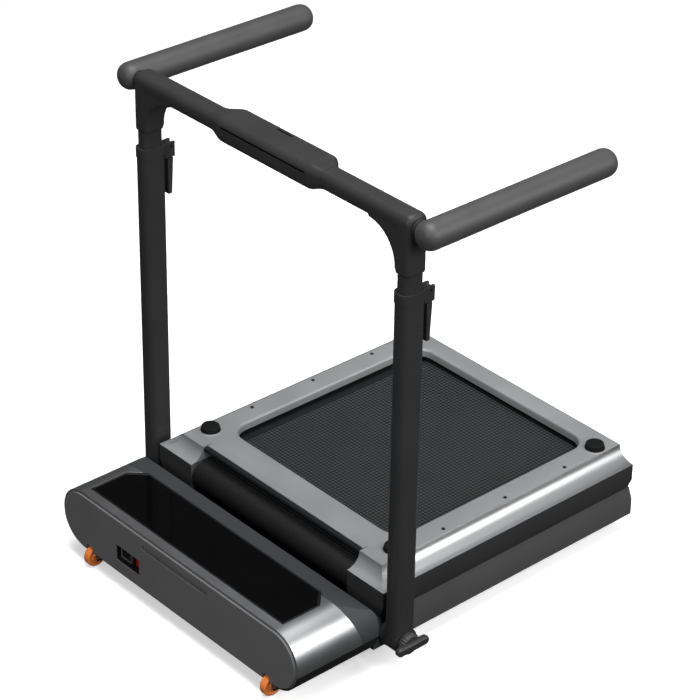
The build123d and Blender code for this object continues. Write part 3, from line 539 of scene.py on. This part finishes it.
def outer_plate(half, body, sizes):
    """The outer sheet, with a softly rolled window whose lip turns inwards."""
    node = f"{half}_bottom_plate"
    low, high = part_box(node)
    outer, inward = (low.z, 1) if half == "front" else (high.z, -1)
    start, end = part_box(f"{half}_trims")[0].y, high.y
    thick, lip, lip_thick = 2 * MM, 16.8 * MM, 1.6 * MM
    wide, long, corner = WINDOW

    def loop(width, length, radius, centre_y, depth):
        points = rounded_rectangle(width, length, radius, (0, centre_y), steps=10)
        return [(u, v, outer + inward * depth) for u, v in points]

    def rim(grow, depth):
        return loop(wide + 2 * grow, long + 2 * grow, corner + grow, WINDOW_Y, depth)

    def border(inset, depth):
        width, length = high.x - low.x - 2 * inset, end - start - 2 * inset
        return loop(width, length, 0.6 * MM, (start + end) / 2, depth)

    roll = sizes.window_roll
    sections = [border(0, thick), border(0, 0.5 * MM), border(0.5 * MM, 0)]
    for n in range(7):
        turn = pi / 2 * n / 6
        sections.append(rim(roll * (1 - sin(turn)), roll * (1 - cos(turn))))
    sections += [rim(0, lip), rim(lip_thick, lip), rim(lip_thick, roll + 0.5 * MM)]
    inner = roll + 0.4 * MM
    for n in range(5):
        turn = pi / 2 * (1 - n / 4)
        sections.append(rim(lip_thick + inner * (1 - sin(turn)), thick + inner * (1 - cos(turn))))
    shape = bmesh.new()
    add_loft(shape, sections + sections[:1], caps=False)
    bmesh.ops.remove_doubles(shape, verts=shape.verts, dist=HAIR)
    flange = sorted((outer + inward * thick, outer + inward * 27.8 * MM))
    add_box(shape, (low.x + MM, end - thick, flange[0]), (high.x - MM, end, flange[1]))
    if low.y < start - MM:
        tongue = sorted((outer, outer + inward * thick))
        add_box(shape, (-227 * MM, low.y, tongue[0]), (227 * MM, start + MM, tongue[1]))
    make_piece(f"{half}_outer_plate", shape, "silver_painted_steel", body, (node,))


class TREADMILL_OT_deck(Operator):
    """Rails, coved trims, plates, boards, feet and hinges of both deck halves"""

    bl_idname = "treadmill.deck"
    bl_label = "Deck halves"

    def execute(self, context):
        sizes = context.scene.treadmill_sizes
        for half, body, depth_sign in (("front", "front_deck", -1), ("rear", "rear_deck", 1)):
            # The front half's rails take the paler copy of the coat, which is painted light.
            coat = "grey_powder_coated_aluminium" if half == "front" else "powder_coated_aluminium"
            skins(
                (f"{half}_rails", coat, sizes.rail_edge / MM),
                (f"{half}_trims", "polished_anodised_aluminium", 0.7),
                (f"{half}_crossmembers", "zinc_plated_steel", 0.8),
                (f"{half}_running_board", "phenolic_faced_board", 1.0),
                (f"hinge_{half}_knuckles", "zinc_plated_steel", 0.5),
            )
            outer_plate(half, body, sizes)
            deck_feet(half, body, sizes)
            # Dark strips beside the belt, as painted shade in the gap by the rails.
            shade_strips(half, body, depth_sign)
        self.end_caps()
        skin("rear_lip", "dark_textured_abs", 1.0)
        self.screws()
        dress("zinc_plated_steel", "hinge_pins", "rear_axle")
        return {"FINISHED"}

    def end_caps(self):
        """Silver coved tops on dark blocks, parted where the trims end."""
        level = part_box("rear_trims")[0].z
        for name, finish, keep_above, replaced in (
            ("end_cap_tops", "matt_silver_abs", True, ("rear_end_caps",)),
            ("end_cap_blocks", "powder_coated_aluminium", False, ()),
        ):
            shape = shape_of("rear_end_caps")
            bmesh.ops.bisect_plane(
                shape, geom=[*shape.verts, *shape.edges, *shape.faces], plane_co=(0, 0, level),
                plane_no=(0, 0, 1), clear_inner=keep_above, clear_outer=not keep_above,
            )
            bmesh.ops.holes_fill(shape, edges=[e for e in shape.edges if e.is_boundary])
            make_piece(name, shape, finish, "rear_deck", replaced, 1.6 * MM, 3)

    def screws(self):
        """Six dark pan-head screws with six-sided sockets."""
        low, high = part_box("rear_screws")
        radius = 3.8
        pan = ((-12, 2.0), (-1.7, 2.0), (-1.6, radius), (-0.7, 3.7), (0, 2.9), (0, 1.9))
        profile = in_mm((*pan, (-1.2, 1.7), (-1.2, 0.1)))
        shape = bmesh.new()
        for x in (low.x + radius * MM, high.x - radius * MM):
            for share in (0, 0.5, 1):
                y = low.y + radius * MM + share * (high.y - low.y - 2 * radius * MM)
                add_turned(shape, profile, Matrix.Translation((x, y, high.z)), 24)
        make_piece("plate_screws", shape, "blackened_steel", "rear_deck", ("rear_screws",))


class TREADMILL_OT_belts(Operator):
    """The woven running belt, its two stretches across the fold and its end rollers"""

    bl_idname = "treadmill.belts"
    bl_label = "Running belt and rollers"

    def execute(self, context):
        skins(("belt_front", "woven_pvc_belt", 0.4), ("belt_rear", "woven_pvc_belt", 0.4))
        low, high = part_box("belt_fold")
        thick, bands = 1.8 * MM, 24
        shape = bmesh.new()
        for near, reach in ((high.y - thick, high.z - PART_Z), (low.y, 5.8 * MM)):
            far = near + thick
            section = [(low.x, near), (high.x, near), (high.x, far), (low.x, far)]
            levels = [PART_Z - reach + 2 * reach * n / bands for n in range(bands + 1)]
            add_loft(shape, [[(x, y, z) for x, y in section] for z in levels])
        fold = make_piece("belt_fold_strips", shape, "woven_pvc_belt", None, ("belt_fold",))
        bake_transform(fold)
        skins(("rear_roller", "zinc_plated_steel", 1.0), ("drive_roller", "zinc_plated_steel", 1.0))
        return {"FINISHED"}


# ---- hood and drive -----------------------------------------------------------------------
class TREADMILL_OT_hood(Operator):
    """The motor hood: shell, pan, covers, glass and its bevel"""

    bl_idname = "treadmill.hood"
    bl_label = "Motor hood"

    def execute(self, context):
        skins(
            ("hood_shell", "silver_painted_abs", 0.8),
            # The rear cover takes the darker copy of the ABS, as painted shade behind the hood.
            ("hood_rear_cover", "grey_textured_abs", 4.0),
            ("base_pan", "dark_textured_abs", 0.9),
            ("glass_bezel", "satin_black_abs", 0.6),
            ("top_glass", "tinted_acrylic", 0.5),
            ("front_cover", "textured_abs", context.scene.treadmill_sizes.cover_edge / MM, 4),
        )
        self.finger_trough()
        return {"FINISHED"}

    def finger_trough(self):
        """A smooth-bottomed trough behind the finger slot, 1.2 mm thick."""
        width, height, thick = 194, 12, 1.2
        inner = ((4.6, 0), (6.5, 0.3), (8.5, 1.6), (9.6, 3.4), (10.0, 5.4))
        outer = [(depth + thick, inset - thick) for depth, inset in reversed(inner)]
        place = toward("Y", (0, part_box("front_cover")[0].y, 134 * MM))
        sections = []
        for depth, inset in (*outer, *inner):
            wide, tall = (width - 2 * inset) * MM, (height - 2 * inset) * MM
            outline = rounded_rectangle(wide, tall, tall / 2 - HAIR, steps=8)
            sections.append(placed(place, outline, -depth * MM))
        shape = bmesh.new()
        add_loft(shape, sections)
        make_piece("finger_trough", shape, "textured_abs", "front_deck")


class TREADMILL_OT_inlet(Operator):
    """The mains inlet with its three pins, its recess and the red rocker"""

    bl_idname = "treadmill.inlet"
    bl_label = "Mains inlet and switch"

    def execute(self, context):
        skins(
            ("inlet_frame", "satin_black_abs", 0.5),
            ("power_inlet", "glass_filled_nylon", 0.4),
            ("switch_rocker", "red_polycarbonate", 0.6),
        )
        low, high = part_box("power_inlet")
        centre = (low + high) / 2
        pins, rim = bmesh.new(), bmesh.new()
        for dx, dz in ((-7, -2), (0, 3), (7, -2)):
            x, z = centre.x + dx * MM, centre.z + dz * MM
            add_box(
                pins, (x - 1.1 * MM, low.y + 2.8 * MM, z - 2.1 * MM),
                (x + 1.1 * MM, low.y + 15.5 * MM, z + 2.1 * MM),
            )
        make_piece("inlet_pins", pins, "zinc_plated_steel", "front_deck", edge=0.3 * MM)
        sections = []
        for inset, rise in ((0.4, 0), (0.9, 1.1), (2.0, 1.1), (2.4, 0)):
            width, height = high.x - low.x - 2 * inset * MM, high.z - low.z - 2 * inset * MM
            place = toward("Y", (centre.x, low.y, centre.z))
            outline = rounded_rectangle(width, height, 3 * MM)
            sections.append(placed(place, outline, rise * MM))
        add_loft(rim, sections + sections[:1], caps=False)
        bmesh.ops.remove_doubles(rim, verts=rim.verts, dist=HAIR)
        make_piece("inlet_rim", rim, "textured_abs", "front_deck")
        return {"FINISHED"}


class TREADMILL_OT_drive(Operator):
    """The motor, pulleys, ribbed belt and controller inside the hood"""

    bl_idname = "treadmill.drive"
    bl_label = "Drive"

    def execute(self, context):
        self.motor_can()
        self.controller()
        skins(
            ("motor_cradle", "zinc_plated_steel", 0.8),
            ("bearing_blocks", "die_cast_aluminium", 1.0),
        )
        dress("zinc_plated_steel", "motor_rotor")
        dress("moulded_nitrile_rubber", "drive_belt")
        return {"FINISHED"}

    def motor_can(self):
        """A rolled can with a cooling-ribbed middle and a stepped end bell."""
        low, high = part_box("motor")
        radius = (high.z - low.z) / 2
        boss = 14 * MM
        profile = [(low.x, 7 * MM), (low.x, radius - 13 * MM), (low.x + boss, radius - 12 * MM)]
        profile += [(low.x + boss, radius - 3 * MM), (low.x + boss + 3 * MM, radius)]
        start, end = low.x + boss + 22 * MM, high.x - 30 * MM
        ribs = 14
        for n in range(ribs):
            along = start + (end - start) * n / ribs
            profile += [(along, radius), (along + 1.6 * MM, radius - 1.6 * MM)]
            profile += [(along + 3.6 * MM, radius - 1.6 * MM), (along + 5.2 * MM, radius)]
        profile += [(high.x - 3 * MM, radius), (high.x, radius - 3 * MM), (high.x, 7 * MM)]
        shape = bmesh.new()
        add_ring(shape, profile, toward("X", (0, *middle("motor").yz)), 72)
        make_piece("motor_can", shape, "enamelled_steel", "front_deck", ("motor",))

    def controller(self):
        """A green board in a low tray, under a finned heat sink."""
        low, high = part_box("motor_controller")
        tray, sink = bmesh.new(), bmesh.new()
        top = low.z + 14 * MM
        add_box(tray, (low.x, low.y, low.z), (high.x, high.y, top - 1 * MM))
        make_piece(
            "controller_board", tray, "circuit_board", "front_deck", ("motor_controller",), 0.8 * MM
        )
        add_box(
            sink, (low.x + 4 * MM, low.y + 4 * MM, top - 2 * MM),
            (high.x - 4 * MM, high.y - 4 * MM, top + 2 * MM),
        )
        for n in range(12):
            x = low.x + (6 + 13 * n) * MM
            add_box(sink, (x, low.y + 5 * MM, top + 1 * MM), (x + 4 * MM, high.y - 5 * MM, high.z))
        make_piece("controller_heat_sink", sink, "die_cast_aluminium", "front_deck", edge=0.5 * MM)


# ---- mast ---------------------------------------------------------------------------------
class TREADMILL_OT_masts(Operator):
    """The two uprights with their brackets, collars, levers and foot knobs"""

    bl_idname = "treadmill.masts"
    bl_label = "Masts"

    def execute(self, context):
        sizes = context.scene.treadmill_sizes
        skins(
            ("mast_brackets", "powder_coated_aluminium", 2.0, 3),
            ("clamp_collars", "powder_coated_mast", 0.9, 3),
            ("inner_tubes", "powder_coated_mast", 0.5),
        )
        for word, side in SIDES:
            skin(f"mast_tube_{word}", "powder_coated_mast", 0.7)
            skin(f"clamp_lever_{word}", "glass_filled_nylon", 1.6, 3)
            self.knob(word, side, sizes)
        self.tube_fittings()
        dress("blackened_steel", "mast_bolts", "lever_pins")
        return {"FINISHED"}

    def knob(self, word, side, sizes):
        """A ribbed hub under a round-ended wing."""
        node = f"base_knob_{word}"
        low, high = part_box(node)
        inner, outer = (low.x, high.x) if side > 0 else (high.x, low.x)
        place = toward("X", (0, *middle(node).yz))
        shape = bmesh.new()
        ribs = int(sizes.knob_ribs)
        rim = []
        for n in range(4 * ribs):
            radius = (22 if n % 4 in (0, 1) else 21) * MM
            rim.append((radius * cos(tau * n / 4 / ribs), radius * sin(tau * n / 4 / ribs)))
        stations = ((0, 0.90), (1.5, 1.0), (10.0, 1.0), (13.0, 0.93), (15.0, 0.80))
        sections = []
        for along, share in stations:
            x = inner + side * along * MM
            sections.append([place @ Vector((u * share, v * share, x)) for u, v in rim])
        add_loft(shape, sections)
        make_piece(f"knob_hub_{word}", shape, "glass_filled_nylon", BODY_OF[node], (node,))
        wing = bmesh.new()
        sections = []
        length, height, corner = high.y - low.y, 18 * MM, 8.8
        for along, inset in ((10, 2.4), (12, 0.8), (14, 0), (20, 0), (22, 0.9), (23.4, 3.0)):
            x = inner + side * min(along * MM, abs(outer - inner))
            wide, tall = length - 2 * inset * MM, height - 2 * inset * MM
            outline = rounded_rectangle(wide, tall, (corner - inset) * MM, steps=8)
            waist = [(u, v * (0.8 + 0.2 * min(1.0, abs(u) / (20 * MM)) ** 2)) for u, v in outline]
            sections.append(placed(place, waist, x))
        add_loft(wing, sections)
        make_piece(f"knob_wing_{word}", wing, "glass_filled_nylon", BODY_OF[node])

    def tube_fittings(self):
        """A small screw in the front of each tube and a tab on each collar's front."""
        screws, tabs = bmesh.new(), bmesh.new()
        front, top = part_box("mast_tube_left")[0].y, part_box("mast_tube_left")[1].z
        for _, side in SIDES:
            x = side * TUBE_X
            place = toward("Y", (x, front, top - 26 * MM))
            head = ((-2, 2.2), (0.3, 2.2), (0.6, 1.7), (0.6, 0.9), (-0.4, 0.8), (-0.4, 0.1))
            add_turned(screws, in_mm(head), place, 24)
            add_box(
                tabs, (x - 4 * MM, front - 1.8 * MM, top + 11 * MM),
                (x + 4 * MM, front + 1 * MM, top + 19 * MM),
            )
        make_piece("tube_screws", screws, "satin_black_abs", "mast")
        make_piece("collar_tabs", tabs, "powder_coated_mast", "mast", edge=0.7 * MM)


class TREADMILL_OT_handlebar(Operator):
    """The one-piece crossbar casting, and the console round its middle"""

    bl_idname = "treadmill.handlebar"
    bl_label = "Handlebar and console"

    def execute(self, context):
        self.casting(context.scene.treadmill_sizes)
        self.console()
        return {"FINISHED"}

    def casting(self, sizes):
        """Crossbar, webs and legs melted into one body with soft inner corners."""
        low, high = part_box("crossbar")
        wide, tall = high.y - low.y, high.z - low.z
        end = TUBE_X + 18 * MM
        across = toward("X", (0, *middle("crossbar").yz))
        ends = ((end, 7), (end - 2 * MM, 3.2), (end - 5 * MM, 1.0), (end - 9 * MM, 0))
        sections = []
        for x, inset in [(-x, inset) for x, inset in ends] + list(reversed(ends)):
            width, height = wide - 2 * inset * MM, tall - 2 * inset * MM
            outline = rounded_rectangle(width, height, 16 * MM, steps=8)
            sections.append(placed(across, outline, x))
        shape = bmesh.new()
        add_loft(shape, sections)
        inside, outside = TUBE_X - 17 * MM, TUBE_X + 6 * MM
        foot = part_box("corner_piece_right")[0].z
        spring = foot + 8 * MM  # where the web's curve starts
        reach, drop = 66 * MM, low.z + 1 * MM - spring
        for side in (-1, 1):
            outline = rounded_rectangle(36 * MM, 46 * MM, 9 * MM, (side * TUBE_X, MAST_Y))
            add_prism(shape, outline, foot, low.z + tall / 2, Matrix.Identity(4))
            web = [(side * outside, foot + 6 * MM), (side * inside, spring)]
            for n in range(13):
                turn = pi / 2 * n / 12
                web.append((side * (inside - reach * (1 - cos(turn))), spring + drop * sin(turn)))
            web += [(side * (TUBE_X - 90 * MM), low.z + tall / 2)]
            web += [(side * outside, low.z + tall / 2)]
            add_prism(shape, web, -22 * MM, 22 * MM, toward("Y", (0, MAST_Y, 0)))
        replaced = ("crossbar", "corner_piece_left", "corner_piece_right")
        body = make_piece("handlebar_casting", shape, "powder_coated_mast", "handlebar", replaced)
        melt = body.modifiers.new("melt", "REMESH")
        melt.mode = "VOXEL"
        melt.voxel_size = sizes.casting_voxel
        soften = body.modifiers.new("soften", "SMOOTH")
        soften.factor = 0.5
        soften.iterations = 12
        settle(body)

    def console(self):
        """A cover that swells from the bar, with a display slot and a small port on top."""
        low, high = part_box("console_cover")
        bar_low, bar_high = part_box("crossbar")
        edge, seam = 116 * MM, 0.8
        bar, wide = middle("crossbar").yz, middle("console_cover").yz
        bar_size = (bar_high.y - bar_low.y + 1 * MM, bar_high.z - bar_low.z + 1 * MM)
        wide_size = (high.y - low.y, high.z - low.z)
        half = [(high.x, 0.0, 0.0)]
        for n in range(1, 8):
            share = n / 8
            half.append((high.x - (high.x - edge) * share, share * share * (3 - 2 * share), 0.0))
        half += [(edge + 0.9 * MM, 1, 0), (edge + 0.3 * MM, 1, seam)]
        half += [(edge - 0.3 * MM, 1, seam), (edge - 0.9 * MM, 1, 0)]
        stations = [(-x, swell, inset) for x, swell, inset in half] + half[::-1]
        sections = []
        for x, swell, inset in stations:
            size = [a + (b - a) * swell - 2 * inset * MM for a, b in zip(bar_size, wide_size)]
            centre = [a + (b - a) * swell for a, b in zip(bar, wide)]
            outline = rounded_rectangle(*size, 16.5 * MM, steps=8)
            sections.append(placed(toward("X", (x, *centre)), outline, 0))
        shape = bmesh.new()
        add_loft(shape, sections)
        cover = make_piece(
            "console_cover_skin", shape, "powder_coated_mast", "handlebar", ("console_cover",)
        )
        slots = bmesh.new()
        strip_low, strip_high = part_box("display_strip")
        reach = strip_high.x
        slit = ((strip_low.z + strip_high.z) / 2, (strip_high.z - strip_low.z) / 2)
        add_box(
            slots, (-reach, low.y - 5 * MM, slit[0] - slit[1]),
            (reach, low.y + 3.5 * MM, slit[0] + slit[1]),
        )
        add_box(
            slots, (-20 * MM, high.y - 20.6 * MM, high.z - 16 * MM),
            (20 * MM, high.y - 16.2 * MM, high.z + 5 * MM),
        )
        cut(cover, slots)
        port = bmesh.new()
        outline = rounded_rectangle(40 * MM, 4.4 * MM, 1.2 * MM, (0, high.y - 18.4 * MM), steps=4)
        add_prism(port, outline, high.z - 20 * MM, high.z - 12 * MM, Matrix.Identity(4))
        make_piece("port_seal", port, "moulded_nitrile_rubber", "handlebar")
        strip = bmesh.new()
        add_box(
            strip, (-reach + 0.2 * MM, low.y + 2.2 * MM, slit[0] - slit[1] + 0.1 * MM),
            (reach - 0.2 * MM, low.y + 4.5 * MM, slit[0] + slit[1] - 0.1 * MM),
        )
        make_piece(
            "display_window", strip, "tinted_acrylic", "handlebar", ("display_strip",), 0.3 * MM
        )


class TREADMILL_OT_handles(Operator):
    """The two foam grips and the necks that they turn on"""

    bl_idname = "treadmill.handles"
    bl_label = "Handles"

    def execute(self, context):
        crown = context.scene.treadmill_sizes.grip_crown
        power = 2.5  # 2 would give a round end, and more gives a blunter one
        for word, side in SIDES:
            node = f"handle_{word}"
            low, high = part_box(node)
            radius, level = (high.z - low.z) / 2, middle(node).z
            nose = []
            for n in range(13):
                share = n / 12
                rise = (1 - (1 - share) ** power) ** (1 / power)
                nose.append((radius * share, max(0.2 * MM, radius * rise)))
            span = high.y - low.y - 2 * radius
            waist = []
            for n in range(1, 16):
                narrow = 1 - crown * sin(pi * n / 16) ** 2
                waist.append((low.y + radius + span * n / 16, radius * narrow))
            profile = [(low.y + along, r) for along, r in nose] + waist
            profile += [(high.y - along, r) for along, r in reversed(nose)]
            grip = bmesh.new()
            place = toward("Y", (side * GRIP_X, 0, level)) @ Matrix.Diagonal((1, 1, -1, 1))
            add_turned(grip, profile, place, 72)
            foam = make_piece(f"grip_{word}", grip, "closed_cell_foam", BODY_OF[node], (node,))
            steps = ((373.4, 8.3), (373.4, 15.5), (374.4, 16.6), (377.6, 16.6), (378.2, 15.2))
            steps += ((379.4, 15.2), (380.0, 16.9), (386.0, 16.9), (395.0, 16.2), (395.0, 8.3))
            collar = in_mm((side * along, r) for along, r in steps)
            neck = bmesh.new()
            add_ring(neck, collar, toward("X", (0, MAST_Y, level)))
            make_piece(f"handle_neck_{word}", neck, "powder_coated_mast", BODY_OF[node])
        return {"FINISHED"}


class TREADMILL_OT_wheels(Operator):
    """The two transport wheels on their axles"""

    bl_idname = "treadmill.wheels"
    bl_label = "Transport wheels"

    def execute(self, context):
        hub = context.scene.treadmill_sizes.wheel_hub
        for word, _ in SIDES:
            node = f"wheel_{word}"
            low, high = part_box(node)
            centre, half = middle(node), (high.x - low.x) / 2
            rim = (high.z - low.z) / 2
            side = [(0, 4.1 * MM), (0, hub), (2 * MM, hub + 1.4 * MM), (2 * MM, rim - 7 * MM)]
            side += [(0.2 * MM, rim - 5 * MM), (0.6 * MM, rim - 1.6 * MM), (2.6 * MM, rim)]
            profile = [(along - half, radius) for along, radius in side]
            profile += [(half - along, radius) for along, radius in reversed(side)]
            shape = bmesh.new()
            add_ring(shape, profile, toward("X", centre))
            make_piece(f"tyre_{word}", shape, "moulded_polyurethane", BODY_OF[node], (node,))
        dress("zinc_plated_steel", "wheel_axles")
        return {"FINISHED"}


# ---- stage --------------------------------------------------------------------------------
class TREADMILL_OT_stage(Operator):
    """A pale floor, soft studio lights and the camera"""

    bl_idname = "treadmill.stage"
    bl_label = "Stage"

    def execute(self, context):
        self.floor()
        self.backdrop()
        self.camera()
        self.lights(context.scene)
        return {"FINISHED"}

    def surface(self, name, shape, finish, code, roughness, glow):
        """A stage surface that glows a little, and neither lights the machine nor shows in it."""
        white = linear(code)
        lit = {"Emission_Color": white, "Emission_Strength": glow}
        made = add_object(name, shape, new_material(finish, white, roughness, **lit)[0])
        made.visible_diffuse = made.visible_glossy = False
        return made

    def floor(self):
        """A plain floor with room round the machine."""
        shape = bmesh.new()
        bmesh.ops.create_grid(shape, x_segments=8, y_segments=8, size=9.0)
        self.surface("floor", shape, "pale_floor", "#F7F7F7", 0.9, 0.45)

    def backdrop(self):
        """A white dome that only the camera sees, so that every view has a pale background."""
        shape = bmesh.new()
        bmesh.ops.create_icosphere(shape, subdivisions=4, radius=30.0)
        dome = self.surface("backdrop", shape, "white_backdrop", "#FFFFFF", 1.0, 1.0)
        dome.visible_shadow = dome.visible_transmission = False

    def camera(self):
        """The camera stands off from its target, turned a little about its own axis."""
        target = Vector((0.08475, -0.08857, 0.51140))
        turn, lift, roll, distance = radians(47.942), radians(30.856), radians(0.984), 4.82631
        back = Vector((sin(turn) * cos(lift), -cos(turn) * cos(lift), sin(lift)))
        right = (-back).cross(Vector((0, 0, 1))).normalized()
        up = right.cross(-back)
        rolled = right * cos(roll) + up * sin(roll)
        upright = up * cos(roll) - right * sin(roll)
        data = bpy.data.cameras.new("camera")
        data.lens = 135.825
        data.sensor_width = 36.0
        camera = bpy.data.objects.new("camera", data)
        place = Matrix((rolled, upright, back)).transposed().to_4x4()
        place.translation = target + back * distance
        camera.matrix_world = place
        bpy.context.scene.collection.objects.link(camera)
        bpy.context.scene.camera = camera

    def lights(self, scene):
        """Four softboxes, and a faint white world that fills the shadows."""
        scene.view_settings.view_transform = "Standard"
        world = bpy.data.worlds.new("studio")
        world.use_nodes = True
        world.node_tree.nodes.clear()
        glow = add_node(
            world.node_tree, "Background", {"Color": linear("#FFFFFF"), "Strength": 0.06}
        )
        add_node(world.node_tree, "OutputWorld", {"Surface": glow})
        scene.world = world
        for name, place, aim, size, power in (
            ("overhead", (0.4, -0.2, 3.8), (0, 0, 0), 2.4, 165),
            ("key_softbox", (4.4, -0.9, 3.4), (0, 0, 0.4), 2.2, 95),
            ("side_strip", (3.0, 1.3, 2.0), (0.3, -0.3, 0.1), 1.9, 62),
            ("front_fill", (1.0, -3.6, 2.2), (0, 0, 0.4), 1.6, 50),
        ):
            data = bpy.data.lights.new(name, "AREA")
            data.size = size
            data.energy = power
            light = bpy.data.objects.new(name, data)
            light.location = place
            heading = Vector(aim) - Vector(place)
            light.rotation_euler = heading.to_track_quat("-Z", "Y").to_euler()
            scene.collection.objects.link(light)


# ---- settings, panel and running ----------------------------------------------------------
def length(name, description, default):
    """A length in metres."""
    return FloatProperty(
        name=name, description=description, default=default, min=0.0, unit="LENGTH", precision=4
    )


def colour(name, description, code):
    """A colour given in hex."""
    return FloatVectorProperty(
        name=name, description=description, default=linear(code)[:3], subtype="COLOR", size=3,
        min=0.0, max=1.0,
    )


class TreadmillSizes(PropertyGroup):
    """Sizes that change a piece's look without changing the machine's size."""

    rail_edge: length("Rail edge", "Radius on the edges of the side rails", 1.4 * MM)
    cover_edge: length("Cover edge", "Radius round the flat front cover", 2.2 * MM)
    foot_ring: length("Foot ring", "Width of the bright ring round each foot", 2.2 * MM)
    window_roll: length("Window roll", "Radius rolled round the plates' windows", 5.0 * MM)
    belt_weave: length("Belt weave", "Distance between two pips of the belt, as drawn", 7.8 * MM)
    casting_voxel: length("Casting grid", "Grid on which the handlebar casting is melted", 1.8 * MM)
    wheel_hub: length("Wheel hub", "Radius of a transport wheel's hub", 8.0 * MM)
    knob_ribs: FloatProperty(
        name="Knob ribs", description="Ribs round each foot knob", default=24, min=8, max=60
    )
    grip_crown: FloatProperty(
        name="Grip waist",
        description="How far a grip narrows at its middle, as a share of its radius", default=0.012,
        min=0.0, max=0.2, subtype="FACTOR",
    )


class TreadmillColours(PropertyGroup):
    """The machine's colours."""

    rails: colour("Upper rails", "Powder coat on the rear half's rails", "#353536")
    # Paler than the rear rails only as painted light on the lower half of the deck.
    grey_rails: colour("Lower rails", "Powder coat on the front half's rails", "#484849")
    mast: colour("Masts", "Powder coat on the masts and handlebar", "#303031")
    trims: colour("Trims", "Anodised coved trims", "#D9DADB")
    shell: colour("Shell", "Silver lacquer on the hood", "#B9BABC")
    plates: colour("Plates", "Matt silver paint on the outer plates", "#939495")
    covers: colour("Covers", "Moulded covers", "#6A6A6B")
    pan: colour("Pan", "Moulded lower tray", "#1D1E1F")
    rubber: colour("Rubber", "Feet", "#121213")
    belt: colour("Belt", "Woven running belt", "#1B1C1D")
    glass: colour("Glass", "Tinted panel", "#060607")
    grips: colour("Grips", "Foam grips", "#3E3E3F")
    levers: colour("Levers", "Levers and knobs", "#2E2E2F")
    wheels: colour("Wheels", "Transport wheels", "#FA8C45")
    switch: colour("Switch", "Rocker switch", "#B52318")


STEPS = (
    TREADMILL_OT_stage, TREADMILL_OT_deck, TREADMILL_OT_belts, TREADMILL_OT_hood,
    TREADMILL_OT_inlet, TREADMILL_OT_drive, TREADMILL_OT_masts, TREADMILL_OT_handlebar,
    TREADMILL_OT_handles, TREADMILL_OT_wheels,
)


class TREADMILL_PT_panel(Panel):
    """Lists the machine's sizes, colours and steps"""

    bl_idname = "TREADMILL_PT_panel"
    bl_label = "Treadmill"
    bl_space_type = "VIEW_3D"
    bl_region_type = "UI"
    bl_category = "Treadmill"

    def draw(self, context):
        for title, group in (
            ("Sizes", context.scene.treadmill_sizes), ("Colours", context.scene.treadmill_colours)
        ):
            box = self.layout.box()
            box.label(text=title)
            for key in group.__annotations__:
                box.prop(group, key)
        for step in STEPS:
            self.layout.operator(step.bl_idname)


CLASSES = (TreadmillSizes, TreadmillColours, *STEPS, TREADMILL_PT_panel)


def register():
    """Registers the classes and the settings."""
    for item in CLASSES:
        bpy.utils.register_class(item)
    bpy.types.Scene.treadmill_sizes = PointerProperty(type=TreadmillSizes)
    bpy.types.Scene.treadmill_colours = PointerProperty(type=TreadmillColours)


def unregister():
    """Takes the settings and the classes away again."""
    del bpy.types.Scene.treadmill_colours
    del bpy.types.Scene.treadmill_sizes
    for item in reversed(CLASSES):
        bpy.utils.unregister_class(item)


def main():
    """Builds everything in order."""
    register()
    make_finishes(bpy.context.scene.treadmill_sizes, bpy.context.scene.treadmill_colours)
    for step in STEPS:
        getattr(bpy.ops.treadmill, step.bl_idname.split(".")[1])()


if __name__ == "__main__":
    main()
